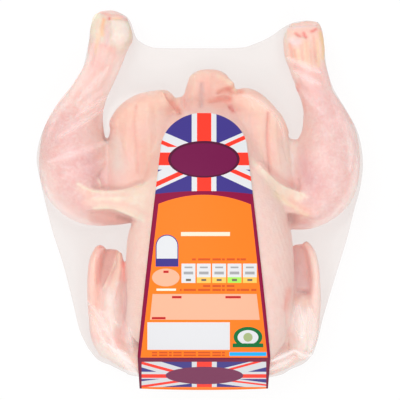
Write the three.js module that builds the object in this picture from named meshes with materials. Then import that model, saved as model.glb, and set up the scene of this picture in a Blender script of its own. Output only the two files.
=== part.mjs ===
// A whole raw chicken in a clear shrink bag, lying on its back, with a printed card over its breast.
// Millimetres, +Z up, +Y towards the legs, +X to the right of somebody looking down with the legs at the top.
// The origin is on the resting plane, under the middle of the pack.
//
// The bag is tight, so its solid is the space between two stretched films. Each film is a membrane that
// hangs between the bag's edge and the highest (or lowest) points of the bird: breast, belly, legs, tail
// and wings. The vacuum sucks it into the gaps between them, until the two films meet in a thin web.
// The card is a thin bent sheet that lies on the upper film and presses it flat.

import * as THREE from "three";

// Driving dimensions
const FILM_COLUMNS = 46; // film cells across the pack
const FILM_ROWS = 54; // film cells along the pack
const EDGE_CROWDING = 0.11; // how much closer the film's cells lie near its edge
const SEAM = 1.0; // height of the bag's welded edge, and of the film where its two layers meet
const VACUUM = 0.06; // how sharply the film is sucked into a gap, as one over the radius of its curve
const FILM_STEPS = 500; // relaxing steps of the membrane
const OVERSHOOT = 1.6; // over-relaxation, which makes those steps go further
const SAMPLES = 8; // rings between two stations of a limb

const CARD_THICKNESS = 0.6;
const CARD_GAP = 0.4; // air between the card and the film
const CARD_CENTRE = 3; // the card lies a little to the right
const CARD_FOOT = 50.7; // half width at the fold and down the flap
const CARD_SHOULDER = 33; // half width where the arch begins
const ARCH_RISE = 28.5; // height of the rounded end
const ARCH_START = 8; // degrees from the top of the arch, where its outline is cut flat
const CARD_DROOP = 11; // how far the card's side lies below its middle, at CARD_FOOT
const CARD_COLUMNS = 12;
const ARCH_ROWS = 6;
const PANEL_ROWS = 16;
const FLAP_ROWS = 3;
const PRESSED_MARGIN = 8; // the card presses the film this far beyond its own outline

// The card's middle line, from its rounded end over the breast to the fold: y and z
const PANEL_LINE = [
  [66.5, 73],
  [44, 85],
  [18, 96.5],
  [-12, 104.5],
  [-46, 108],
  [-80, 104.5],
  [-104, 96.5],
  [-119, 88.5],
];
const FLAP_END = [-148.4, 37.5]; // the flap's lower edge, in front of the neck end

// The bag's edge in four sides, each from one corner to the next: x, y and height of the weld
const LEFT_EDGE = [
  [-88, -117, 30], [-94.5, -103, 32], [-100, -80, 34], [-107.5, -50, 36], [-115.5, -25, 37],
  [-121, -3, 38], [-126, 20, 38], [-128, 34, 37], [-124, 52, 35], [-115, 69, 32], [-103.5, 85, 28],
  [-93.5, 102, 25], [-88.5, 123, 23], [-86.5, 137, 22], [-81, 147.5, 21],
];
const TOP_EDGE = [
  [-81, 147.5, 21], [-72, 150.2, 21], [-64, 148.6, 21], [-56.5, 143.6, 21], [-53.2, 136, 22],
  [-50.5, 128.5, 22], [-46, 124.4, 23], [-39.5, 121.3, 24], [-31, 120, 25], [0, 119.8, 26],
  [31, 120.3, 25], [43.5, 123.6, 24], [55.5, 129.2, 23], [65, 136, 22], [73, 140.3, 21],
  [84, 142.2, 21], [93.5, 141, 21],
];
const RIGHT_EDGE = [
  [89, -121, 30], [93, -108, 31], [97.5, -90, 33], [106, -61, 35], [115, -31, 37], [120.5, -9, 38],
  [126, 12, 38], [127.6, 32, 37], [124, 52, 35], [116.5, 67, 32], [105.7, 87, 28],
  [100.4, 104, 25], [98.2, 123, 23], [96.6, 135, 22], [93.5, 141, 21],
];
const BOTTOM_EDGE = [
  [-88, -117, 30], [-80, -126, 31], [-69, -130.5, 33], [-58, -135.5, 34], [-50, -138.3, 35],
  [3, -144.5, 36], [57, -138.8, 35], [71, -133, 33], [82, -128.5, 31], [89, -121, 30],
];

// The bird: each limb is a chain of stations, and a station is
// x, y and z of the middle, radius seen from above, reach upwards, reach downwards.
// A limb's section is a rounded ellipse whose fullness is its exponent: 2 is a true ellipse.
const BIRD = [
  {
    name: "breast",
    fullness: 2.5,
    stations: [
      [3, -125, 42, 13, 22, 16],
      [3, -114, 44, 29, 34, 27],
      [4, -100, 46, 44, 44, 39],
      [5, -78, 48, 64, 54, 55],
      [7, -56, 50, 65, 57, 64],
      [7, -14, 50, 60, 54, 64],
      [5, 18, 46, 50, 48, 58],
      [4, 46, 40, 38, 35, 44],
      [4, 66, 34, 26, 24, 26],
    ],
  },
  {
    name: "left_belly",
    fullness: 2.2,
    stations: [
      [-46, 14.7, 38, 29, 28, 33],
      [-46, 34, 37, 28, 27, 31],
      [-43.2, 50.3, 35, 27, 24, 28],
    ],
  },
  {
    name: "right_belly",
    fullness: 2.2,
    stations: [
      [47.4, 14.7, 38, 29, 28, 33],
      [46, 34, 37, 26, 27, 31],
      [43.2, 48.6, 35, 26, 24, 28],
    ],
  },
  {
    name: "left_vent_fold",
    fullness: 2,
    stations: [
      [-53.1, 62.8, 33, 12, 21, 20],
      [-43, 70, 34, 14, 21, 20],
      [-30.2, 73.8, 35, 11.5, 18, 18],
    ],
  },
  {
    name: "right_vent_fold",
    fullness: 2,
    stations: [
      [57.6, 53.7, 33, 11, 20, 20],
      [50, 65, 33, 12, 21, 20],
      [38, 75.5, 34, 12, 19, 18],
      [31, 76.7, 34, 10, 16, 16],
    ],
  },
  {
    name: "left_vent_floor",
    fullness: 2,
    stations: [
      [-17, 67.4, 32, 13, 14, 14],
      [-13, 68.6, 32, 13, 14, 14],
    ],
  },
  {
    name: "tail",
    fullness: 2.2,
    stations: [
      [6.3, 69.6, 33, 26, 22, 24],
      [6.5, 76, 33, 20.5, 15, 18],
      [6.1, 84.4, 33, 17, 11, 12],
    ],
  },
  {
    name: "left_leg",
    fullness: 2,
    stations: [
      [-70.9, 127, 21.5, 15, 11, 12],
      [-71.4, 121, 22.5, 15.5, 13, 13],
      [-76.8, 105.3, 24, 13.4, 13.5, 14],
      [-87.4, 84.2, 28, 14.4, 16, 17],
      [-94.8, 68.6, 31, 18.6, 21, 22],
      [-99, 51.5, 34.5, 23.6, 27, 27],
      [-98.7, 33.5, 37, 27, 31, 31],
      [-96.7, 15.6, 38, 26.5, 30, 32],
      [-86, 4, 38, 23.5, 26, 31],
      [-68.6, 5, 36, 25, 15, 29],
      [-60.4, 7.2, 36, 27, 17, 29],
    ],
  },
  {
    name: "left_knuckle",
    fullness: 2,
    stations: [
      [-79.7, 123.8, 23, 6, 9, 9],
      [-80.6, 131, 22.5, 8, 11.5, 11],
      [-78.7, 140.4, 22, 7.6, 10.5, 10],
    ],
  },
  {
    name: "left_knob",
    fullness: 2.2,
    stations: [
      [-63.5, 121.7, 24, 7.5, 11, 11],
      [-63.2, 128, 23.5, 10.4, 12.5, 12],
      [-64.6, 134.7, 22.5, 9, 10, 10],
    ],
  },
  {
    name: "right_leg",
    fullness: 2,
    stations: [
      [81.1, 125.2, 21.5, 13.6, 11, 12],
      [81.1, 119, 22.5, 15.6, 13, 13.5],
      [83.5, 107.6, 24, 13.8, 14, 14.5],
      [89.7, 89.7, 27, 13, 15.5, 16.5],
      [93.2, 79.6, 29, 13.4, 17, 18],
      [97.1, 68.6, 31, 16.4, 21, 21],
      [100.6, 51.5, 34.5, 22.2, 27, 27],
      [98.8, 32, 37, 26.8, 31, 31],
      [95.5, 12, 38, 26.5, 30, 32],
      [84.2, 0.5, 38, 23, 26, 31],
      [70, 2, 36, 25, 15, 29],
      [63.6, 4.4, 36, 27, 17, 29],
    ],
  },
  {
    name: "right_knuckle",
    fullness: 2.2,
    stations: [
      [74.3, 121.1, 23, 7, 10, 10],
      [73.8, 127, 22.5, 7.5, 11.5, 11],
      [75.4, 131.1, 22, 7, 9.5, 10],
    ],
  },
  {
    name: "right_knob",
    fullness: 2.2,
    stations: [
      [88.5, 119.1, 23, 7, 11, 11],
      [88.6, 127, 22.5, 7.5, 12, 11],
      [87.9, 133.1, 22, 6.6, 9.5, 10],
    ],
  },
  {
    name: "left_groin",
    fullness: 2,
    stations: [
      [-73, 40, 31, 16, 21, 20],
      [-70, 16, 33, 18, 21, 22],
    ],
  },
  {
    name: "right_groin",
    fullness: 2,
    stations: [
      [75, 36, 31, 15, 21, 20],
      [72, 14, 33, 18, 21, 22],
    ],
  },
  {
    name: "left_forearm",
    fullness: 2,
    stations: [
      [-77.7, -39.7, 36, 3.6, 9, 12],
      [-81, -49, 37, 3.8, 10, 14],
      [-82.3, -62, 37, 4.4, 11, 15],
      [-82.2, -75, 36, 5.4, 12, 16],
      [-80, -92, 34, 7.5, 14, 17],
      [-77, -106, 32, 9, 14, 16],
      [-72.6, -114.8, 31, 9, 13, 14],
    ],
  },
  {
    name: "left_upper_wing",
    fullness: 2,
    stations: [
      [-62.6, -42, 44, 1.6, 3, 8],
      [-62.4, -52, 44, 3.4, 6, 14],
      [-64.5, -62, 43, 5.8, 8, 18],
      [-67.5, -72, 41, 8.4, 10, 20],
      [-68.5, -88, 38, 9.6, 13, 20],
      [-68, -106, 35, 10.5, 15, 18],
      [-66, -114.1, 33, 10, 14, 16],
    ],
  },
  {
    name: "left_wing_floor",
    fullness: 2,
    stations: [
      [-74.9, -47.5, 27, 7, 9, 8],
      [-74.5, -56, 28, 8, 10, 9],
      [-75, -72, 31, 8, 13, 12],
      [-75, -92, 32, 8, 14, 12],
    ],
  },
  {
    name: "left_armpit",
    fullness: 2,
    stations: [
      [-57.9, -59.2, 34, 6, 10, 12],
      [-57, -80, 34, 8, 12, 12],
      [-56.1, -105.8, 35, 11, 13, 14],
    ],
  },
  {
    name: "left_shoulder",
    fullness: 2,
    stations: [
      [-65.4, -116.1, 34, 11, 14, 14],
      [-58, -121, 37, 11, 16, 16],
      [-49.2, -124.2, 40, 11, 18, 18],
    ],
  },
  {
    name: "right_forearm",
    fullness: 2,
    stations: [
      [83.3, -35.5, 36, 3, 8, 12],
      [87, -42, 37, 3.8, 9, 13],
      [89.3, -53, 37, 4.1, 10, 15],
      [90, -66, 37, 4.4, 11, 15],
      [88.8, -80, 35, 6.2, 13, 16],
      [86, -95, 33, 8, 14, 16],
      [83, -110, 32, 8.8, 14, 15],
      [78.7, -117.1, 31, 8.5, 13, 14],
    ],
  },
  {
    name: "right_upper_wing",
    fullness: 2.2,
    stations: [
      [78.5, -83.2, 40, 9.5, 12, 20],
      [78.5, -90, 39, 11.5, 14, 20],
      [77.5, -105, 36, 12, 15, 19],
      [73.6, -114.9, 33, 11, 14, 16],
    ],
  },
  {
    name: "right_wing_floor",
    fullness: 2,
    stations: [
      [78.6, -41.2, 28, 6.5, 8, 8],
      [79, -54, 29, 8, 9, 9],
      [79.8, -66, 31, 8, 12, 12],
    ],
  },
  {
    name: "right_armpit",
    fullness: 2,
    stations: [
      [69.9, -59.2, 34, 6, 10, 12],
      [69, -80, 35, 8, 14, 12],
      [66.2, -105.8, 35, 11, 15, 14],
    ],
  },
  {
    name: "right_shoulder",
    fullness: 2,
    stations: [
      [70.2, -118.6, 34, 11, 14, 14],
      [62, -123, 37, 11, 16, 16],
      [53.2, -126.2, 40, 11, 17, 18],
    ],
  },
];

// A limb's rings: its stations joined by smooth curves, one for the middle line and one for the radii.
function ringsOf(limb) {
  const middles = new THREE.CatmullRomCurve3(limb.stations.map(([x, y, z]) => new THREE.Vector3(x, y, z)));
  const radii = new THREE.CatmullRomCurve3(
    limb.stations.map(([, , , across, up, down]) => new THREE.Vector3(across, up, down)),
  );
  const steps = (limb.stations.length - 1) * SAMPLES;
  return Array.from({ length: steps + 1 }, (_, i) => ({
    middle: middles.getPoint(i / steps),
    radii: radii.getPoint(i / steps),
    fullness: limb.fullness,
  }));
}

const rings = BIRD.flatMap(ringsOf);

// The bird's highest and lowest points over (x, y): the extremes over the rings that cover it.
function birdAt(x, y) {
  let top = -Infinity;
  let bottom = Infinity;
  for (const { middle, radii, fullness } of rings) {
    const share = Math.hypot(x - middle.x, y - middle.y) / radii.x;
    if (share >= 1) continue;
    const rise = (1 - share ** fullness) ** (1 / fullness);
    top = Math.max(top, middle.z + radii.y * rise);
    bottom = Math.min(bottom, middle.z - radii.z * rise);
  }
  return { top, bottom: Math.max(bottom, 0) };
}

// Cells lie closer together towards 0 and 1, where the film turns down to its edge.
function crowded(share) {
  return share - EDGE_CROWDING * Math.sin(2 * Math.PI * share);
}

// The grid of points between four edge curves: a Coons patch, which blends opposite sides.
function patchBetween(left, right, bottom, top) {
  const [l, r, b, t] = [left, right, bottom, top].map(
    (points) => new THREE.CatmullRomCurve3(points.map((p) => new THREE.Vector3(...p)), false, "centripetal"),
  );
  const corners = [b.getPointAt(0), b.getPointAt(1), t.getPointAt(0), t.getPointAt(1)];
  const rows = [];
  for (let j = 0; j <= FILM_ROWS; j++) {
    const v = crowded(j / FILM_ROWS);
    const [onLeft, onRight] = [l.getPointAt(v), r.getPointAt(v)];
    rows.push([]);
    for (let i = 0; i <= FILM_COLUMNS; i++) {
      const u = crowded(i / FILM_COLUMNS);
      const point = new THREE.Vector3()
        .addScaledVector(onLeft, 1 - u)
        .addScaledVector(onRight, u)
        .addScaledVector(b.getPointAt(u), 1 - v)
        .addScaledVector(t.getPointAt(u), v)
        .addScaledVector(corners[0], -(1 - u) * (1 - v))
        .addScaledVector(corners[1], -u * (1 - v))
        .addScaledVector(corners[2], -(1 - u) * v)
        .addScaledVector(corners[3], -u * v);
      rows[j].push(point);
    }
  }
  return rows;
}

// Each inner point's four neighbours, with weights that fall with their distance, and how far the vacuum
// moves the point off their mean: a quarter of the square of their distance over the curve's radius.
function neighboursOf(grid, i, j) {
  const here = grid[j][i];
  const around = [[i - 1, j], [i + 1, j], [i, j - 1], [i, j + 1]];
  const gaps = around.map(([a, b]) => Math.hypot(grid[b][a].x - here.x, grid[b][a].y - here.y));
  const sum = gaps.reduce((total, gap) => total + 1 / gap, 0);
  return {
    around: around.map(([a, b], k) => ({ i: a, j: b, weight: 1 / gaps[k] / sum })),
    dip: (VACUUM * gaps.reduce((total, gap) => total + gap ** 2, 0)) / 16,
  };
}

// Stretches a film over the grid: inner points move to the mean of their neighbours and the vacuum's way
// (down is -1, up is 1) from there, and `limit` keeps each on its side of the bird.
function stretch(grid, edgeShift, way, limit) {
  const heights = grid.map((row) => row.map((point) => point.z + edgeShift));
  const inner = [];
  for (let j = 1; j < FILM_ROWS; j++)
    for (let i = 1; i < FILM_COLUMNS; i++) inner.push({ i, j, ...neighboursOf(grid, i, j) });
  for (const cell of inner) heights[cell.j][cell.i] = limit(heights[cell.j][cell.i], cell);
  for (let step = 0; step < FILM_STEPS; step++)
    for (const { i, j, around, dip } of inner) {
      const mean = around.reduce((sum, n) => sum + n.weight * heights[n.j][n.i], way * dip);
      heights[j][i] = limit(heights[j][i] + OVERSHOOT * (mean - heights[j][i]), { i, j });
    }
  return grid.map((row, j) => row.map((point, i) => new THREE.Vector3(point.x, point.y, heights[j][i])));
}

// A closed body between two grids of points of the same shape, front facing out and back facing away.
function closedBody(front, back) {
  const rows = front.length;
  const columns = front[0].length;
  const points = [...front.flat(), ...back.flat()];
  const at = (side, j, i) => side * rows * columns + j * columns + i;
  const index = [];
  const quad = (a, b, c, d) => index.push(a, b, c, a, c, d);
  for (let j = 0; j + 1 < rows; j++)
    for (let i = 0; i + 1 < columns; i++) {
      quad(at(0, j, i), at(0, j, i + 1), at(0, j + 1, i + 1), at(0, j + 1, i));
      quad(at(1, j, i), at(1, j + 1, i), at(1, j + 1, i + 1), at(1, j, i + 1));
    }
  for (let i = 0; i + 1 < columns; i++) {
    quad(at(1, 0, i), at(1, 0, i + 1), at(0, 0, i + 1), at(0, 0, i));
    quad(at(0, rows - 1, i), at(0, rows - 1, i + 1), at(1, rows - 1, i + 1), at(1, rows - 1, i));
  }
  for (let j = 0; j + 1 < rows; j++) {
    quad(at(0, j, 0), at(0, j + 1, 0), at(1, j + 1, 0), at(1, j, 0));
    quad(at(1, j, columns - 1), at(1, j + 1, columns - 1), at(0, j + 1, columns - 1), at(0, j, columns - 1));
  }
  return new THREE.BufferGeometry().setFromPoints(points).setIndex(index);
}

// The height at which a line of [y, z] points passes y, followed straight on beyond its ends.
// The points run from the highest y to the lowest.
function heightOn(line, y) {
  const last = line.length - 2;
  const k = Math.min(Math.max(line.findIndex((point) => point[0] <= y) - 1, 0), last);
  const from = y < line.at(-1)[0] ? last : k;
  const [[y0, z0], [y1, z1]] = [line[from], line[from + 1]];
  return z0 + ((z1 - z0) * (y - y0)) / (y1 - y0);
}

// The card's middle line as stations from the rounded end to the flap's edge: y, z, half width, and the
// outward normal in the YZ plane.
function cardStations() {
  const line = new THREE.CatmullRomCurve3(PANEL_LINE.map(([y, z]) => new THREE.Vector3(0, y, z)))
    .getPoints(200)
    .map((point) => [point.y, point.z]);
  const shoulderY = PANEL_LINE[0][0] - ARCH_RISE;
  const foldY = PANEL_LINE.at(-1)[0];
  const stations = [];
  for (let k = 0; k <= ARCH_ROWS; k++) {
    const angle = THREE.MathUtils.degToRad(THREE.MathUtils.lerp(ARCH_START, 90, k / ARCH_ROWS));
    const y = shoulderY + ARCH_RISE * Math.cos(angle);
    stations.push({ y, z: heightOn(line, y), half: CARD_SHOULDER * Math.sin(angle) });
  }
  for (let k = 1; k <= PANEL_ROWS; k++) {
    const share = k / PANEL_ROWS;
    const y = THREE.MathUtils.lerp(shoulderY, foldY, share);
    stations.push({ y, z: heightOn(line, y), half: THREE.MathUtils.lerp(CARD_SHOULDER, CARD_FOOT, share) });
  }
  const fold = stations.at(-1);
  for (let k = 1; k <= FLAP_ROWS; k++) {
    const share = k / FLAP_ROWS;
    const y = THREE.MathUtils.lerp(fold.y, FLAP_END[0], share);
    const z = THREE.MathUtils.lerp(fold.z, FLAP_END[1], share);
    stations.push({ y, z, half: CARD_FOOT });
  }
  return stations.map((station, k) => {
    const [before, after] = [stations[Math.max(k - 1, 0)], stations[Math.min(k + 1, stations.length - 1)]];
    const [dy, dz] = [after.y - before.y, after.z - before.z];
    const length = Math.hypot(dy, dz);
    return { ...station, normalY: dz / length, normalZ: -dy / length };
  });
}

const stations = cardStations();

// How far the card's sides droop below its middle, `across` millimetres from it.
function droopAt(across) {
  return CARD_DROOP * (across / CARD_FOOT) ** 2;
}

// The highest that the film may reach over (x, y): no limit away from the card, its underside near it.
function ceilingAt(x, y) {
  const under = stations.map((s) => [s.y - CARD_GAP * s.normalY, s.z - CARD_GAP * s.normalZ]);
  const widths = stations.map((s) => [s.y, s.half]);
  const across = Math.abs(x - CARD_CENTRE);
  const nearest = Math.min(y, stations[1].y);
  const half = y > PANEL_LINE[0][0] + PRESSED_MARGIN ? -Infinity : heightOn(widths, nearest);
  return across > half + PRESSED_MARGIN ? Infinity : heightOn(under, y) - droopAt(across);
}

// The filled bag: the space between the upper film and the lower one. The card presses the upper film
// and the floor flattens the lower one.
function bagGeometry() {
  const grid = patchBetween(LEFT_EDGE, RIGHT_EDGE, BOTTOM_EDGE, TOP_EDGE);
  const bird = grid.map((row) => row.map((point) => birdAt(point.x, point.y)));
  const ceiling = grid.map((row) => row.map((point) => ceilingAt(point.x, point.y)));
  const upper = stretch(grid, SEAM / 2, -1, (z, { i, j }) => {
    const above = Math.max(z, bird[j][i].top, grid[j][i].z + SEAM / 2);
    return Math.min(above, ceiling[j][i]);
  });
  const lower = stretch(grid, -SEAM / 2, 1, (z, { i, j }) => {
    const below = Math.min(z, bird[j][i].bottom, grid[j][i].z - SEAM / 2, upper[j][i].z - SEAM);
    return Math.max(below, 0);
  });
  return closedBody(upper, lower);
}

// The card: a sheet along its stations, from its underside to its printed face.
function cardGeometry() {
  const face = (offset) =>
    stations
      .map(({ y, z, half, normalY, normalZ }) =>
        Array.from({ length: CARD_COLUMNS + 1 }, (_, i) => {
          const across = THREE.MathUtils.lerp(-half, half, i / CARD_COLUMNS);
          const rise = normalZ * offset - droopAt(across);
          return new THREE.Vector3(CARD_CENTRE + across, y + normalY * offset, z + rise);
        }),
      )
      .reverse();
  return closedBody(face(CARD_THICKNESS), face(0));
}

function meshOf(name, geometry, color, roughness) {
  geometry.computeVertexNormals();
  const material = new THREE.MeshStandardMaterial({ color, roughness, metalness: 0 });
  const mesh = new THREE.Mesh(geometry, material);
  mesh.name = name;
  return mesh;
}

const pack = new THREE.Group();
pack.name = "bagged_chicken";
pack.add(meshOf("bag", bagGeometry(), 0xf2d3c8, 0.3));
pack.add(meshOf("card", cardGeometry(), 0xff8533, 0.45));

export default pack;
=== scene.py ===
"""A raw whole chicken on its back in a tight clear bag, with a printed card over its breast.

Shapes are worked out in millimetres in the part's own frame, and turned to metres when a mesh is made.
Creases, tints, film pleats and the card's print are drawn on a sheet of 400 by 400 squares: the view
straight down from the camera, with x to the right, y downwards and the pack's middle at (200, 200).
"""

import math

import bpy
import numpy as np
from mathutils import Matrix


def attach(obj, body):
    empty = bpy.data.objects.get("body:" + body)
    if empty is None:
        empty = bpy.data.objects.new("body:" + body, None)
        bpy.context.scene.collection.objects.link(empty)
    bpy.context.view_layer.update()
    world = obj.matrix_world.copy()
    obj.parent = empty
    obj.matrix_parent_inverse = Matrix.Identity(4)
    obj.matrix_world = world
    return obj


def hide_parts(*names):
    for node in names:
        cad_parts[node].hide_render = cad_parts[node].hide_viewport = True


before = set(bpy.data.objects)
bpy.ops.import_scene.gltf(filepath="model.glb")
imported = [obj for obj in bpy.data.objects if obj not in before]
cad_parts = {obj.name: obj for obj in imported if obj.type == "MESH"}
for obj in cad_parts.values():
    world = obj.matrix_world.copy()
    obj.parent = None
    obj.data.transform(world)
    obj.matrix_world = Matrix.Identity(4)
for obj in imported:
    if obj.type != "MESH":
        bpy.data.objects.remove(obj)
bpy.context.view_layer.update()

# The camera and the drawing sheet
EYE_HEIGHT = 1500.0  # millimetres from the floor to the camera
DRAWN_HEIGHT = 45.0  # a square is SQUARE wide at this height
SQUARE = 0.78
SHEET_SQUARES = 400  # along each side of the sheet
SHEET_MIDDLE = SHEET_SQUARES / 2
SENSOR = 36.0  # the camera's own picture width
MM = 0.001

# The light and the floor
LIGHTS = {  # place in metres, side in metres and watts
    "overhead": ((-0.5, 0.6, 1.7), 1.4, 13.0),
    "fill": ((0.35, -1.0, 1.3), 1.2, 6.2),
}
WORLD_LIGHT = 0.84
FLOOR_HALF = 6000.0
FLOOR_DROP = 0.2  # how far the floor lies below the pack
FLOOR_GLOW = 0.89  # the studio table is lit from within, which keeps shadows faint

# The bird
LIMB_SIDES = 40  # points round a limb's section
LIMB_STEPS = 8  # rings from one station to the next
CAP_ANGLES = (80, 62, 44, 24)  # degrees at which the rings of a limb's rounded end lie
FUSE_CELL = 1.2  # size of the skin's faces
SMOOTHING = 8
UNDERSIDE_SLANT = -0.15  # the skin faces down where its normal's z is less
UNDERSIDE_SHARE = 0.2  # the share of faces kept there
UP_FACING = (2.5, 0.3)  # folds and tints are as strong as the first times the normal's z, plus the second
BACK_HEIGHT = 0.8  # the lowest skin above the floor
SKIN_GAP = 0.6  # air between the skin and the film
SKIN_CARD_GAP = 0.3  # how much more air is left under the card
RIDGE_HEIGHT = 0.12  # of the rows of feather pits on the breast's sides
RIDGE_DEPTH = 0.035  # how much paler and darker they are by turns
RIDGE_TINT = (0.4, 1.0, 1.0)  # the shares of that in red, green and blue
RIDGE_WAVES = ((-0.35, 1.0, 5.2), (1.6, 1.0, 9.0))  # two waves: weights of x and y, and length
RIDGE_PLACES = (  # a drawn line, its half width and the ridges' strength
    ([(282, 226), (287, 262), (284, 292)], 11, 1.0),
    ([(136, 236), (134, 290)], 9, 0.5),
)
THIGHS = ([(70, 112), (62, 150), (80, 178)], [(330, 112), (334, 160), (322, 200)])
THIGH_WIDTH = 26  # half the width of the feather pits' field along a thigh's line
THIGH_EDGE = 4  # and how sharply it ends
PLAIN_MOTTLING = 0.45  # the mottling's strength away from the thighs
THIN_END = 0.35  # the width of a tapered stroke's ends, as a share of its middle's

# The film
FILM_VEIL = 0.175  # how much of the light a clear part of the film scatters
EDGE_ON_VEIL = 0.5  # how much more it scatters when seen edge on
MILK_AND_HIGHLIGHT_FROM = 0.08  # whiteness from which a stroke of the film is fully white: the pleats' own milkiness with painted highlights, and painted sheen
FILM_COLUMNS = 190
FILM_ROWS = 225
FILM_ROUNDS = ((5, 900), (1, 260))  # cells from point to point, and how often the film is stretched
EDGE_CROWDING = 0.06
SEAM = 1.0
VACUUM = 0.06  # how sharply the film is sucked into a gap, as one over the radius of its curve
RASTER = 1.7  # cells in which the bird's highest and lowest points are found
RASTER_START = (-140.0, -160.0)
RASTER_SPAN = (280.0, 320.0)
NOTHING = -500.0  # the height of a cell with no bird
SIDE_SLOPE = 1.6  # how steeply the film may run down beside the bird
SLOPE_CELLS = 5
EVENING = 10  # how often the films' heights are evened out at last
SLACK = 0.1  # how much nearer to the bird that may bring them

# The card
CARD_THICKNESS = 0.6
CARD_GAP = 0.4
CARD_CENTRE = 3.0
CARD_FOOT = 50.7
CARD_SHOULDER = 33.0
ARCH_RISE = 28.5
ARCH_START = 8.0
CARD_DROOP = 11.0
CARD_ROWS = (24, 70, 20)  # rows of points over the rounded end, the panel and the flap
CARD_COLUMNS = 41
CEILING_ROWS = (6, 16, 3)  # the same for the ceiling that the card is to what lies under it
PRESSED_MARGIN = 8.0
PANEL_LINE = [
    (66.5, 73), (44, 85), (18, 96.5), (-12, 104.5), (-46, 108), (-80, 104.5), (-104, 96.5), (-119, 88.5),
]
FLAP_END = (-148.4, 37.5)

# How many straight pieces a smooth line has from one station to the next
EDGE_STEPS = 40
PANEL_STEPS = 30
STROKE_STEPS = 6

# The bag's edge, from corner to corner: x, y and height
LEFT_EDGE = [
    (-88, -117, 30), (-94.5, -103, 32), (-100, -80, 34), (-107.5, -50, 36), (-115.5, -25, 37),
    (-121, -3, 38), (-126, 20, 38), (-128, 34, 37), (-124, 52, 35), (-115, 69, 32), (-103.5, 85, 28),
    (-93.5, 102, 25), (-88.5, 123, 23), (-86.5, 137, 22), (-81, 147.5, 21),
]
TOP_EDGE = [
    (-81, 147.5, 21), (-72, 150.2, 21), (-64, 148.6, 21), (-56.5, 143.6, 21), (-53.2, 136, 22),
    (-50.5, 128.5, 22), (-46, 124.4, 23), (-39.5, 121.3, 24), (-31, 120, 25), (0, 119.8, 26),
    (31, 120.3, 25), (43.5, 123.6, 24), (55.5, 129.2, 23), (65, 136, 22), (73, 140.3, 21), (84, 142.2, 21),
    (93.5, 141, 21),
]
RIGHT_EDGE = [
    (89, -121, 30), (93, -108, 31), (97.5, -90, 33), (106, -61, 35), (115, -31, 37), (120.5, -9, 38),
    (126, 12, 38), (127.6, 32, 37), (124, 52, 35), (116.5, 67, 32), (105.7, 87, 28), (100.4, 104, 25),
    (98.2, 123, 23), (96.6, 135, 22), (93.5, 141, 21),
]
BOTTOM_EDGE = [
    (-88, -117, 30), (-80, -126, 31), (-69, -130.5, 33), (-58, -135.5, 34), (-50, -138.3, 35),
    (3, -144.5, 36), (57, -138.8, 35), (71, -133, 33), (82, -128.5, 31), (89, -121, 30),
]

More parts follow.
